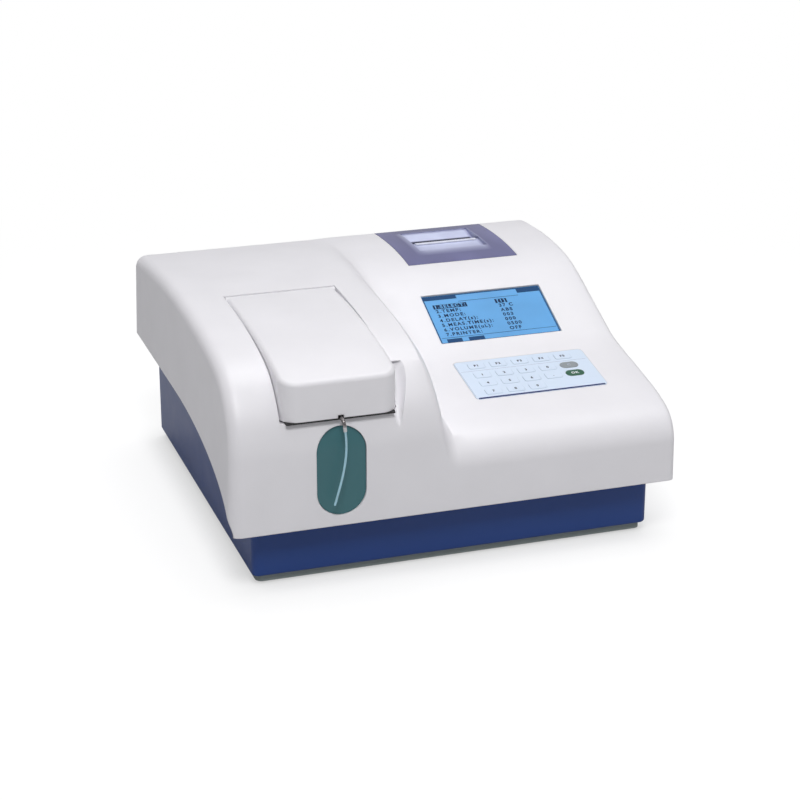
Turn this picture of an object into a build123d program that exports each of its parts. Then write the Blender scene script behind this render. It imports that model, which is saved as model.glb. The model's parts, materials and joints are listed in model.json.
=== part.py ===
from build123d import *
import math
import os

os.makedirs("parts", exist_ok=True)

# ---------------------------------------------------------------- overall form
cover_width = 400.0
cover_depth = 374.0
cover_wall = 3.0
side_draft = 0.034
console_draft = 0.020
draft_datum = 49.0
corner_radius = 11.0
console_corner = 6.5
console_bow = 6.8
console_bow_length = 75.0
rear_corner = 12.0
rear_slope = -0.1
skirt_front_height = 52.6
skirt_side_height = 110.0
skirt_front_lap = 3.0
skirt_curve_length = 197.0
fold_start = 173.0
fold_end = 197.0
form_headroom = 230.0

# Distance back from the front, height of the left arch, height of the right console.
stations = [
    (0.0, 118.0, 88.0),
    (2.5, 134.0, 97.5),
    (9.0, 150.5, 106.0),
    (19.0, 164.0, 112.0),
    (31.0, 174.5, 115.6),
    (48.0, 182.0, 119.0),
    (75.0, 188.0, 123.9),
    (105.0, 192.2, 129.4),
    (128.0, 194.2, 133.7),
    (146.0, 195.3, 138.4),
    (165.0, 196.2, 146.4),
    (190.0, 197.0, 157.7),
    (214.0, 197.1, 168.5),
    (232.0, 196.9, 176.1),
    (250.0, 196.4, 181.8),
    (272.0, 194.9, 185.7),
    (322.0, 190.9, 188.2),
    (cover_depth, 184.5, 185.3),
]

# ---------------------------------------------------------------- base
tub_inset = 22.5
tub_front = 16.0
tub_rear_gap = 3.0
tub_rear = cover_depth - tub_rear_gap
tub_bottom = 8.0
tub_wall = 2.5
tub_front_rim = 85.0
tub_side_rim = 119.0
tub_rim_rise = 110.0
tub_corner = 6.0
pan_inset = 4.0
pan_sheet = 1.5
pan_bottom = 2.0
pan_screw_gap = 1.4
foot_radius = 9.0
foot_inset = 32.0
post_radius = 5.0
post_x_inset = 33.0
post_y_inset = 31.0
screw_radius = 2.0
screw_length = 14.0
screw_head_radius = 3.6
screw_head_height = 2.4
fit_clearance = 0.05
air_gap = 0.3

# ---------------------------------------------------------------- cell lid and its well
lid_left = 46.0
lid_right = 145.0
lid_front = 1.0
lid_wall = 2.5
lid_corner = 15.0
lid_toe = 40.0
lid_tail_start = 172.0
lid_tail_height = 181.0
lid_edge_round = 4.5
lid_bottom = 146.6
lid_gap = 0.6
lid_rear_gap = 0.9
lid_barrel = 2.8
lid_hinge_y = 182.6
lid_pin_radius = 1.2
lid_pin_depth = 12.0
well_wall = 3.0
well_ledge_top = 144.9
well_ledge_width = 6.5
well_front_ledge = 24.5
notch_width = 5.0
notch_height = 2.5
lid_crown = [(14.0, 182.4), (30.0, 186.0), (55.0, 190.0), (90.0, 193.9), (130.0, 196.3)]
lid_front_top = 179.4

scoop_foot = (144.6, -1.0, 130.0)
scoop_head = (146.5, 26.0, 182.0)
scoop_foot_radius = 0.5
scoop_head_radius = 15.0

# ---------------------------------------------------------------- sample plate and tube
plate_x = 95.0
plate_z = 100.4
plate_width = 41.6
plate_height = 76.4
plate_gap = 0.4
plate_recess = 1.5
plate_thickness = 2.5
guide_front = 9.0
guide_pin_radius = 2.5
board_rise = 17.0
guide_pin_pitch = 21.0
spring_radius = 4.0
spring_wire = 0.45
spring_turns = 3
sleeve_radius = 1.5
sleeve_rise = 146.8
sleeve_out = 6.5
sleeve_tip = 137.5
sleeve_bend = 4.5
tube_radius = 1.0

sleeve_rear = 20.0
saddle_half_width = 2.0
bend_share = 0.45
tube_points = [
    (96.2, -6.5, 137.5),
    (97.16, -6.5, 128.0),
    (96.4, -7.2, 115.5),
    (94.0, -7.6, 101.5),
    (90.4, -7.6, 88.0),
    (86.6, -7.2, 74.5),
]

# ---------------------------------------------------------------- screen
screen_left = 236.0
screen_right = 352.0
screen_low = 155.7
screen_high = 214.4
screen_slope = 24.26
screen_recess = 1.2
screen_margin = 5.0
screen_depth = 9.0

# ---------------------------------------------------------------- keypad
keypad_left = 236.0
keypad_right = 358.3
keypad_front = 64.5
keypad_rear = 127.5
keypad_slope = 10.35
keypad_corner = 4.0
keypad_side_ledge = 6.5
keypad_end_ledge = 2.4
overlay_thickness = 0.8
overlay_rebate = 0.7
key_first_x = 255.2
key_pitch_x = 20.45
key_rows = [118.9, 103.2, 89.3, 75.4]
key_width = 15.0
key_length = 9.6
key_corner = 2.0
oval_width = 16.8
oval_corner = 4.7
key_gap = 0.25
key_flange = 0.8
key_flange_thickness = 0.7
key_proud = 0.2
key_travel = 0.5
key_stem_radius = 1.6
key_stem_length = 3.0
board_thickness = 1.6
pillar_relief = 0.4

# ---------------------------------------------------------------- printer
bay_left = 240.2
bay_right = 348.8
bay_front = 260.0
bay_gap = 0.4
door_wall = 2.5
door_barrel = 3.0
door_hinge_height = 176.0
door_hinge_inset = 3.2
door_pin_radius = 1.3
dish_left = 262.0
dish_right = 330.0
dish_front = 291.0
dish_rear = 351.0
slot_front = 316.0
slot_width = 4.0
dish_front_depth = 0.8
dish_floor_depth = 3.1
dish_lip_depth = 1.4
dish_rear_depth = 0.1
dish_front_run = 3.0
slot_depth = 6.8
slot_margin = 3.0
bucket_floor = 126.0
bucket_wall = 2.0
roll_radius = 22.0
roll_core = 6.5
roll_width = 57.0
roll_y = 290.0
platen_radius = 4.5
platen_shaft = 1.5
platen_y = 324.0
platen_z = 168.0

bucket_side = 3.0
bucket_rear_gap = 13.0
bucket_rear_height = 168.0
mechanism_half_width = 43.0
mechanism_rear = 352.0
mechanism_top = 176.0
cheek_thickness = 4.0
cheek_bottom = 150.0

# ---------------------------------------------------------------- optics and fluids
bench_top = 100.0
bench_thickness = 4.0
optical_x = 95.0
optical_z = 135.0
wheel_radius = 34.0
wheel_pitch = 26.0
wheel_thickness = 6.0
wheel_y = 194.0
filter_count = 8
filter_radius = 6.0
motor_side = 28.0
motor_length = 32.0
motor_shaft = 2.5
pump_x = 95.0
pump_z = 50.0
pump_front = 44.0
pump_depth = 26.0
pump_radius = 33.0
rotor_radius = 21.0
line_radius = 2.4
line_rise = 88.0
cell_port_z = 112.0
cell_y = 88.0
cell_half = 6.0
cell_bottom = 118.0
cell_top = 152.0
block_x = (81.0, 109.0)
block_y = (70.0, 106.0)
block_top = 150.0
bench_x = (50.0, 142.0)
bench_y = (38.0, 336.0)
motor_front = 206.0
wheel_x = 121.0
wheel_z = 135.0
lamp_x = (70.0, 120.0)
lamp_y = (262.0, 322.0)
lamp_top = 165.0
snout_front = 208.0
supply_x = (238.0, 338.0)
supply_y = (236.0, 346.0)

# ---------------------------------------------------------------- rear services
window_left = 70.0
window_right = 330.0
window_low = 22.0
window_high = 100.0
panel_lap = 7.0
panel_sheet = 1.5
inlet_x = 108.0
inlet_z = 48.0
rocker_z = 80.0
fan_x = 266.0
fan_z = 60.0
fan_side = 60.0
fan_depth = 15.0
waste_x = 185.0
waste_z = 60.0
waste_bore = 3.0
waste_body = 5.0
waste_length = 18.5
inlet_body_z = (34.0, 90.0)
socket_width = 25.0
socket_height = 17.0
socket_depth = 16.0
rocker_axle_depth = 4.0
rocker_pocket_depth = 8.5
inlet_depth = 23.5
inlet_half_width = 20.0
inlet_flange = 4.0
inlet_flange_thickness = 2.0
rocker_half_width = 10.6
rocker_stub = 1.5
rocker_tilt = 7.0
fan_bore = 28.0
fan_shaft = 1.5


def from_left(distance):
    """Row-frame x of a place measured from the cover's left side."""
    return distance - cover_width / 2


def from_front(distance):
    """Row-frame y of a place measured back from the cover's front, the sleeve standing forward of it."""
    return distance - (cover_depth - sleeve_out - sleeve_radius) / 2


def block(x_span, y_span, z_span, mode=Mode.ADD):
    """A box between distances from the left, distances from the front, and heights."""
    centre = (
        from_left(sum(x_span) / 2),
        from_front(sum(y_span) / 2),
        sum(z_span) / 2,
    )
    with Locations(centre):
        return Box(x_span[1] - x_span[0], y_span[1] - y_span[0], z_span[1] - z_span[0], mode=mode)


def rod_x(x_span, y, z, radius, mode=Mode.ADD):
    """A round bar along the width."""
    with Locations(Location((from_left(sum(x_span) / 2), from_front(y), z), (0, 90, 0))):
        return Cylinder(radius, x_span[1] - x_span[0], mode=mode)


def rod_y(x, y_span, z, radius, mode=Mode.ADD):
    """A round bar along the depth."""
    with Locations(Location((from_left(x), from_front(sum(y_span) / 2), z), (90, 0, 0))):
        return Cylinder(radius, y_span[1] - y_span[0], mode=mode)


def rod_z(x, y, z_span, radius, mode=Mode.ADD):
    """A round bar standing up."""
    with Locations((from_left(x), from_front(y), sum(z_span) / 2)):
        return Cylinder(radius, z_span[1] - z_span[0], mode=mode)


def finish(piece, label):
    """Name a finished piece and write it out."""
    piece.part.label = label
    export_step(piece.part, f"parts/{label}.step")


def console_height(distance):
    """Height of the console's top between its stations."""
    for (low_y, _, low_z), (high_y, _, high_z) in zip(stations, stations[1:]):
        if low_y <= distance <= high_y:
            return low_z + (high_z - low_z) * (distance - low_y) / (high_y - low_y)
    raise ValueError("distance is off the cover")


# ---------------------------------------------------------------- cover form
def cover_section(x, console_share, inset):
    """Outline of the cover at x: share 0 is the arch, 1 the console."""
    squeeze = (cover_depth - 2 * inset) / cover_depth
    middle = cover_depth / 2
    outline = [
        (
            from_front(middle + (distance - middle) * squeeze),
            arch + (console - arch) * console_share - inset,
        )
        for distance, arch, console in stations
    ]
    with BuildSketch(Plane.YZ.offset(from_left(x))) as section:
        with BuildLine():
            Spline(*outline, tangents=[(0, 1), (1, rear_slope)], tangent_scalars=[1, 1])
            Polyline(outline[-1], (outline[-1][0], 0), (outline[0][0], 0), outline[0])
        make_face()
        rear_top = section.vertices().group_by(Axis.X)[-1].sort_by(Axis.Y)[-1]
        fillet(rear_top, rear_corner - inset)
    return section.sketch


def cover_plan(side, height):
    """The cover's plan at a height: both sides lean in, and the console's side draws in at the front."""
    left = -side + side_draft * (height - draft_datum)
    right = side - console_draft * (height - skirt_side_height)
    rear = from_front(cover_depth + cover_wall)
    bow = [
        (right - console_bow * (1 - share) ** 2, from_front(share * console_bow_length))
        for share in (0.0, 0.25, 0.5, 0.75, 1.0)
    ]
    steady = [(right, from_front(console_bow_length + (cover_depth - console_bow_length) * share)) for share in (0.3, 0.65)]
    with BuildSketch(Plane.XY.offset(height)) as plan:
        with BuildLine():
            side_line = Spline(*bow, *steady, (right, rear))
            Polyline(side_line @ 1, (left, rear), (left, from_front(0)), side_line @ 0)
        make_face()
    return plan.sketch


def cover_form(inset):
    """The closed body that the cover's skin wraps, drawn in by an inset."""
    side = cover_width / 2 - inset
    fold_steps = [0.0, 0.12, 0.5, 0.88, 1.0]
    with BuildPart() as form:
        extrude(cover_section(fold_start, 0, inset), amount=-(fold_start + 2 * corner_radius))
        extrude(cover_section(fold_end, 1, inset), amount=cover_width - fold_end + 2 * corner_radius)
        loft(
            [
                cover_section(
                    fold_start + (fold_end - fold_start) * step / (len(fold_steps) - 1),
                    share,
                    inset,
                )
                for step, share in enumerate(fold_steps)
            ]
        )
        loft([cover_plan(side, height) for height in (0, form_headroom)], mode=Mode.INTERSECT)
        for place, radius in ((0, corner_radius), (-1, console_corner)):
            end = form.faces().sort_by(Axis.X)[place]
            fillet([edge for edge in end.edges() if edge.center().Z > 1], radius - inset)
    return form.part


outer_form = cover_form(0)
inner_form = cover_form(cover_wall)

# ---------------------------------------------------------------- places shared by several pieces
lid_hinge_z = 194.0
well_left = lid_left - lid_gap
well_right = lid_right + lid_gap
well_rear = lid_hinge_y + lid_barrel + lid_rear_gap
well_span = (well_left, well_right)
well_hole_x = (well_left + well_ledge_width, well_right - well_ledge_width)
well_hole_y = (well_front_ledge, well_rear - 2 * well_ledge_width)
well_floor = well_ledge_top - well_wall
tub_x = (tub_inset, cover_width - tub_inset)
tub_y = (tub_front, tub_rear)
tub_floor = tub_bottom + tub_wall
pan_top = tub_bottom - pan_sheet
posts = [
    (x, y)
    for x in (post_x_inset, cover_width - post_x_inset)
    for y in (post_y_inset, cover_depth - post_y_inset)
]
door_hinge_y = cover_depth - door_hinge_inset
panel_rear = tub_rear - tub_wall
bay_x = (bay_left, bay_right)
lug_width = 7.0
pin_rows = (plate_z - guide_pin_pitch / 2, plate_z + guide_pin_pitch / 2)
board_posts = [(x, y) for x in (176, 344) for y in (64, 212)]
loop_radius = rotor_radius + line_radius + 0.2
loop_x = (pump_x - loop_radius, pump_x + loop_radius)
loop_y = pump_front + 12.0
bay_middle = (bay_left + bay_right) / 2


def tilted_plane(x, y, slope):
    """A plane lying on the console's top at a place, with its own y running up the slope."""
    lean = math.radians(slope)
    return Plane(
        origin=(from_left(x), from_front(y), console_height(y)),
        x_dir=(1, 0, 0),
        z_dir=(0, -math.sin(lean), math.cos(lean)),
    )


screen_plane = tilted_plane((screen_left + screen_right) / 2, (screen_low + screen_high) / 2, screen_slope)
screen_width = screen_right - screen_left
screen_length = (screen_high - screen_low) / math.cos(math.radians(screen_slope))
keypad_plane = tilted_plane((keypad_left + keypad_right) / 2, (keypad_front + keypad_rear) / 2, keypad_slope)
keypad_width = keypad_right - keypad_left
keypad_length = (keypad_rear - keypad_front) / math.cos(math.radians(keypad_slope))


def arch_layer(x_span, outer_inset, thickness):
    """A layer of the arch's front and top, between two insets of its outline."""
    with BuildPart() as layer:
        extrude(cover_section(x_span[0], 0, outer_inset), amount=x_span[1] - x_span[0])
        extrude(
            cover_section(x_span[0], 0, outer_inset + thickness),
            amount=x_span[1] - x_span[0],
            mode=Mode.SUBTRACT,
        )
    return layer.part


def plate_outline(growth):
    """The plate's upright stadium on the front face, grown by a gap."""
    front_face = Plane(
        origin=(from_left(plate_x), from_front(0), plate_z), x_dir=(1, 0, 0), z_dir=(0, -1, 0)
    )
    with BuildSketch(front_face) as outline:
        SlotOverall(plate_height + 2 * growth, plate_width + 2 * growth, rotation=90)
    return outline.sketch


def scoop_cone(growth):
    """The finger scoop beside the lid's right front corner."""
    foot = Vector(from_left(scoop_foot[0]), from_front(scoop_foot[1]), scoop_foot[2])
    head = Vector(from_left(scoop_head[0]), from_front(scoop_head[1]), scoop_head[2])
    rise = head - foot
    with BuildPart(Plane(origin=foot, z_dir=rise)) as scoop:
        Cone(
            scoop_foot_radius + growth,
            scoop_head_radius + growth,
            rise.length,
            align=(Align.CENTER, Align.CENTER, Align.MIN),
        )
    return scoop.part


# ---------------------------------------------------------------- top cover
with BuildPart() as well_walls:
    block(
        (well_left - well_wall, well_right + well_wall),
        (0, well_rear + well_wall),
        (well_floor, form_headroom),
    )
    add(scoop_cone(cover_wall))
    add(outer_form, mode=Mode.INTERSECT)

with BuildPart() as cover_posts:
    for x, y in posts:
        rod_z(x, y, (tub_floor, form_headroom), post_radius)
    for x_span in ((bay_left - lug_width, bay_left), (bay_right, bay_right + lug_width)):
        block(
            x_span,
            (door_hinge_y - 2 * door_barrel, cover_depth),
            (door_hinge_height - 2 * door_barrel, form_headroom),
        )
    add(outer_form, mode=Mode.INTERSECT)

with BuildPart() as top_cover:
    add(outer_form)
    add(inner_form, mode=Mode.SUBTRACT)
    with BuildSketch(Plane.YZ.offset(-cover_width)):
        with BuildLine():
            curve = EllipticalCenterArc(
                (from_front(skirt_front_lap + skirt_curve_length), skirt_front_height),
                skirt_curve_length,
                skirt_side_height - skirt_front_height,
                start_angle=90,
                arc_size=90,
            )
            Polyline(
                curve @ 1,
                (from_front(-cover_wall), skirt_front_height),
                (from_front(-cover_wall), -cover_wall),
                (from_front(cover_depth + cover_wall), -cover_wall),
                (from_front(cover_depth + cover_wall), skirt_side_height),
                curve @ 0,
            )
        make_face()
    extrude(amount=2 * cover_width, mode=Mode.SUBTRACT)
    add(well_walls.part)
    add(cover_posts.part)
    block(well_span, (-1, well_rear), (well_ledge_top, form_headroom), mode=Mode.SUBTRACT)
    block(well_hole_x, well_hole_y, (well_floor - 1, well_ledge_top + 1), mode=Mode.SUBTRACT)
    for x_span in ((well_left, well_hole_x[0]), (well_hole_x[1], well_right)):
        block(x_span, (30, 36), (well_ledge_top, lid_bottom - air_gap))
    add(scoop_cone(0), mode=Mode.SUBTRACT)
    rod_x((well_left - well_wall - 1, well_left + 1), lid_hinge_y, lid_hinge_z, lid_pin_radius, Mode.SUBTRACT)
    rod_x((well_right - 1, well_right + well_wall + 1), lid_hinge_y, lid_hinge_z, lid_pin_radius, Mode.SUBTRACT)
    extrude(plate_outline(plate_gap), amount=-(tub_front - 2), mode=Mode.SUBTRACT)
    with BuildSketch(screen_plane):
        RectangleRounded(screen_width, screen_length, screen_recess)
    extrude(amount=2 * cover_wall, both=True, mode=Mode.SUBTRACT)
    with BuildSketch(keypad_plane.offset(-overlay_rebate)):
        RectangleRounded(keypad_width + key_gap, keypad_length + key_gap, keypad_corner)
    extrude(amount=2 * cover_wall, mode=Mode.SUBTRACT)
    with BuildSketch(keypad_plane):
        RectangleRounded(keypad_width - 2 * keypad_side_ledge, keypad_length - 2 * keypad_end_ledge, keypad_corner)
    extrude(amount=-3 * cover_wall, mode=Mode.SUBTRACT)
    block(
        bay_x,
        (bay_front, cover_depth + 1),
        (door_hinge_height - door_barrel - 1, form_headroom),
        mode=Mode.SUBTRACT,
    )
    for x_span in ((bay_left - lug_width - 1, bay_left + 1), (bay_right - 1, bay_right + lug_width + 1)):
        rod_x(x_span, door_hinge_y, door_hinge_height, door_pin_radius, Mode.SUBTRACT)
    for x, y in posts:
        rod_z(x, y, (tub_floor, tub_floor + screw_length + 2), screw_radius + fit_clearance, Mode.SUBTRACT)
finish(top_cover, "top_cover")

# ---------------------------------------------------------------- base
def tub_body(inset, floor, rims):
    """The base tub's body as a side outline drawn across its width."""
    front, rear = tub_front + inset, tub_rear - inset
    with BuildPart() as body:
        with BuildSketch(Plane.YZ.offset(from_left(tub_inset + inset))):
            with BuildLine():
                Polyline(
                    (from_front(front), floor),
                    (from_front(front), rims[0]),
                    (from_front(tub_rim_rise), rims[1]),
                    (from_front(rear), rims[1]),
                    (from_front(rear), floor),
                    close=True,
                )
            make_face()
        extrude(amount=cover_width - 2 * (tub_inset + inset))
        fillet(body.edges().filter_by(Axis.Z), tub_corner - inset)
    return body.part


with BuildPart() as base_tub:
    add(tub_body(0, tub_bottom, (tub_front_rim, tub_side_rim)))
    fillet(base_tub.faces().sort_by(Axis.Z)[0].edges(), tub_wall)
    add(tub_body(tub_wall, tub_floor, (form_headroom, form_headroom)), mode=Mode.SUBTRACT)
    for x, y in posts:
        rod_z(x, y, (tub_bottom - 1, tub_floor + 1), screw_radius + fit_clearance, Mode.SUBTRACT)
    block(
        (window_left, window_right),
        (tub_rear - 2 * tub_wall, tub_rear + 1),
        (window_low, window_high),
        mode=Mode.SUBTRACT,
    )
    for x, y in board_posts:
        rod_z(x, y, (tub_floor - 1, board_rise), 3.5)
finish(base_tub, "base_tub")

with BuildPart() as base_pan:
    pan_x = (tub_x[0] + pan_inset, tub_x[1] - pan_inset)
    pan_y = (tub_y[0] + pan_inset, tub_y[1] - pan_inset)
    block(pan_x, pan_y, (pan_bottom, tub_bottom))
    fillet(base_pan.edges().filter_by(Axis.Z), tub_corner)
    with BuildPart(mode=Mode.PRIVATE) as pan_hollow:
        block(
            (pan_x[0] + pan_sheet, pan_x[1] - pan_sheet),
            (pan_y[0] + pan_sheet, pan_y[1] - pan_sheet),
            (pan_bottom - 1, pan_top),
        )
        fillet(pan_hollow.edges().filter_by(Axis.Z), tub_corner - pan_sheet)
    add(pan_hollow.part, mode=Mode.SUBTRACT)
    for x, y in posts:
        rod_z(x, y, (pan_bottom, tub_bottom + 1), screw_head_radius + pan_screw_gap, Mode.SUBTRACT)
finish(base_pan, "base_pan")

with BuildPart() as rubber_feet:
    for x in (tub_x[0] + foot_inset, tub_x[1] - foot_inset):
        for y in (tub_y[0] + foot_inset, tub_y[1] - foot_inset):
            rod_z(x, y, (0, pan_top), foot_radius)
    chamfer(rubber_feet.faces().group_by(Axis.Z)[0].edges(), 1.0)
finish(rubber_feet, "rubber_feet")

with BuildPart() as cover_screws:
    for x, y in posts:
        rod_z(x, y, (tub_bottom - screw_head_height, tub_bottom), screw_head_radius)
        rod_z(x, y, (tub_bottom, tub_bottom + screw_length), screw_radius)
        rod_z(x, y, (tub_bottom - screw_head_height - 1, tub_bottom - 1), screw_radius / 2, Mode.SUBTRACT)
finish(cover_screws, "cover_screws")

# ---------------------------------------------------------------- cell lid
def lid_form(inset, drop):
    """The lid's body under its crown, drawn in by an inset and opened downwards by a drop."""
    front = from_front(lid_front + inset)
    tail = from_front(lid_hinge_y - 2 * inset)
    crown = [(front, lid_front_top - inset)]
    crown += [(from_front(distance), height - inset) for distance, height in lid_crown]
    crown += [(tail, lid_hinge_z + lid_barrel - inset)]
    left, right = from_left(lid_left + inset), from_left(lid_right - inset)
    with BuildPart() as form:
        with BuildSketch(Plane.YZ.offset(left)):
            with BuildLine():
                Spline(*crown)
                Polyline(
                    crown[-1],
                    (tail, lid_hinge_z - drop),
                    (from_front(lid_tail_start), lid_tail_height - drop),
                    (from_front(lid_toe), lid_bottom - drop),
                    (front, lid_bottom - drop),
                    crown[0],
                )
            make_face()
        extrude(amount=right - left)
        with BuildSketch() as plan:
            with Locations(((left + right) / 2, (front + from_front(cover_depth)) / 2)):
                Rectangle(right - left, from_front(cover_depth) - front)
            fillet(plan.vertices().group_by(Axis.Y)[0], lid_corner - inset)
        extrude(amount=form_headroom, mode=Mode.INTERSECT)
    return form.part


with BuildPart() as cell_lid:
    add(lid_form(0, 0))
    crown_face = cell_lid.faces().sort_by(SortBy.AREA)[-1]
    crown_rim = crown_face.edges().sort_by(Axis.Y)[:-1]
    fillet(crown_rim, lid_edge_round)
    add(lid_form(lid_wall, lid_bottom / 2), mode=Mode.SUBTRACT)
    rod_x((lid_left, lid_right), lid_hinge_y, lid_hinge_z, lid_barrel)
    for x_span in ((lid_left - 1, lid_left + lid_pin_depth + 1), (lid_right - lid_pin_depth - 1, lid_right + 1)):
        rod_x(x_span, lid_hinge_y, lid_hinge_z, lid_pin_radius + fit_clearance, Mode.SUBTRACT)
    block(
        (plate_x - notch_width / 2, plate_x + notch_width / 2),
        (lid_front - 1, lid_front + lid_wall + 1),
        (lid_bottom - 1, lid_bottom + notch_height),
        mode=Mode.SUBTRACT,
    )
finish(cell_lid, "cell_lid")

with BuildPart() as hinge_pins:
    for x_span in (
        (well_left - well_wall, lid_left + lid_pin_depth),
        (lid_right - lid_pin_depth, well_right + well_wall),
    ):
        rod_x(x_span, lid_hinge_y, lid_hinge_z, lid_pin_radius)
    for x_span in (
        (bay_left - lug_width, bay_left + lid_pin_depth),
        (bay_right - lid_pin_depth, bay_right + lug_width),
    ):
        rod_x(x_span, door_hinge_y, door_hinge_height, door_pin_radius)
finish(hinge_pins, "hinge_pins")

with BuildPart() as chamber_liner:
    liner_x = (well_hole_x[0] - lid_wall, well_hole_x[1] + lid_wall)
    liner_y = (well_hole_y[0] - lid_wall, well_hole_y[1] + lid_wall)
    block(liner_x, liner_y, (bench_top, well_floor))
    block(well_hole_x, well_hole_y, (bench_top + lid_wall, well_floor + 1), mode=Mode.SUBTRACT)
    rod_y(optical_x, (liner_y[1] - 2 * lid_wall, liner_y[1] + 1), optical_z, 9, Mode.SUBTRACT)
    rod_z(loop_x[1], loop_y, (bench_top - 1, bench_top + lid_wall + 1), line_radius + 0.8, Mode.SUBTRACT)
finish(chamber_liner, "chamber_liner")

# ---------------------------------------------------------------- sample plate, guide and springs
with BuildPart() as aspirate_plate:
    extrude(plate_outline(0), amount=-(tub_front - 2))
    extrude(plate_outline(0), amount=1)
    add(arch_layer((plate_x - plate_width, plate_x + plate_width), plate_recess, plate_thickness), mode=Mode.INTERSECT)
    for z in pin_rows:
        rod_y(plate_x, (plate_recess + plate_thickness - 1, tub_front - 0.5), z, guide_pin_radius)
finish(aspirate_plate, "aspirate_plate")

with BuildPart() as plate_guide:
    block((plate_x - 18, plate_x + 18), (guide_front, tub_front), (64, 120))
    block((plate_x - 10, plate_x + 10), (guide_front - 1, tub_front - 3), (72, 112), mode=Mode.SUBTRACT)
    for z in pin_rows:
        rod_y(plate_x, (guide_front, tub_front), z, spring_radius + 2)
    for z in pin_rows:
        rod_y(plate_x, (guide_front - 1, tub_front + 1), z, guide_pin_radius + 0.1, Mode.SUBTRACT)
finish(plate_guide, "plate_guide")

with BuildPart() as plate_springs:
    spring_start = plate_recess + plate_thickness + spring_wire
    spring_room = guide_front - spring_start - spring_wire
    for z in pin_rows:
        with BuildLine() as coil:
            Helix(
                spring_room / spring_turns,
                spring_room,
                spring_radius,
                center=(from_left(plate_x), from_front(spring_start), z),
                direction=(0, 1, 0),
            )
        with BuildSketch(Plane(origin=coil.line @ 0, z_dir=coil.line % 0)):
            Circle(spring_wire)
        sweep(path=coil.line, is_frenet=True)
finish(plate_springs, "plate_springs")

# ---------------------------------------------------------------- screen
with BuildPart() as screen_module:
    with BuildSketch(screen_plane.offset(-screen_recess)):
        RectangleRounded(screen_width - 2 * air_gap, screen_length - 2 * air_gap, screen_recess)
    extrude(amount=-(cover_wall + air_gap))
    with BuildSketch(screen_plane.offset(-cover_wall)):
        Rectangle(screen_width + 2 * screen_margin, screen_length + 2 * screen_margin)
    extrude(amount=-screen_depth)
    with BuildSketch(screen_plane.offset(-cover_wall - screen_depth)):
        Rectangle(screen_width + 3 * screen_margin, screen_length + screen_margin)
    extrude(amount=-board_thickness)
finish(screen_module, "screen_module")

# ---------------------------------------------------------------- keypad
def key_place(column, row):
    """A key's centre on the keypad's own plane."""
    x = key_first_x + column * key_pitch_x - (keypad_left + keypad_right) / 2
    y = (key_rows[row] - (keypad_front + keypad_rear) / 2) / math.cos(math.radians(keypad_slope))
    return x, y


keys = {f"key_f{column + 1}": (key_place(column, 0), key_width, key_corner) for column in range(5)}
for row, names in enumerate(("1 2 3 0", "4 5 6 point", "7 8 9"), start=1):
    for column, name in enumerate(names.split()):
        keys[f"key_{name}"] = (key_place(column, row), key_width, key_corner)
keys["key_back"] = (key_place(4, 1), oval_width, oval_corner)
keys["key_enter"] = (key_place(4, 2), oval_width, oval_corner)

with BuildPart() as keypad_overlay:
    with BuildSketch(keypad_plane.offset(-overlay_rebate)):
        RectangleRounded(keypad_width - key_gap, keypad_length - key_gap, keypad_corner)
        for place, width, corner in keys.values():
            with Locations(place):
                RectangleRounded(width + 2 * key_gap, key_length + 2 * key_gap, corner + key_gap, mode=Mode.SUBTRACT)
    extrude(amount=overlay_thickness)
finish(keypad_overlay, "keypad_overlay")

overlay_top = overlay_thickness - overlay_rebate
flange_top = -overlay_rebate - air_gap
flange_bottom = flange_top - key_flange_thickness
board_top = flange_bottom - key_stem_length - key_travel - air_gap

for name, (place, width, corner) in keys.items():
    with BuildPart() as key:
        with BuildSketch(keypad_plane.offset(flange_bottom)):
            with Locations(place):
                RectangleRounded(width, key_length, corner)
        extrude(amount=overlay_top + key_proud - flange_bottom)
        with BuildSketch(keypad_plane.offset(flange_bottom)):
            with Locations(place):
                RectangleRounded(width + 2 * key_flange, key_length + 2 * key_flange, corner)
        extrude(amount=key_flange_thickness)
        with BuildSketch(keypad_plane.offset(flange_bottom)):
            with Locations(place):
                Circle(key_stem_radius)
        extrude(amount=-key_stem_length)
    finish(key, name)

with BuildPart() as keypad_board:
    with BuildSketch(keypad_plane.offset(board_top)):
        Rectangle(keypad_width, keypad_length)
    extrude(amount=-board_thickness)
    with BuildSketch(keypad_plane.offset(board_top)):
        with GridLocations(keypad_width - 5.6, keypad_length - 5.6, 2, 2):
            Circle(key_stem_radius)
    extrude(amount=-cover_wall - pillar_relief - board_top)
finish(keypad_board, "keypad_board")

# ---------------------------------------------------------------- printer
with BuildPart() as door_layer:
    add(outer_form)
    add(cover_form(door_wall), mode=Mode.SUBTRACT)

dish_top = console_height(slot_front)

with BuildPart() as dish_block:
    block((dish_left - door_wall, dish_right + door_wall), (dish_front - door_wall, dish_rear + door_wall), (door_hinge_height + 2, form_headroom))
    add(outer_form, mode=Mode.INTERSECT)

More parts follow.
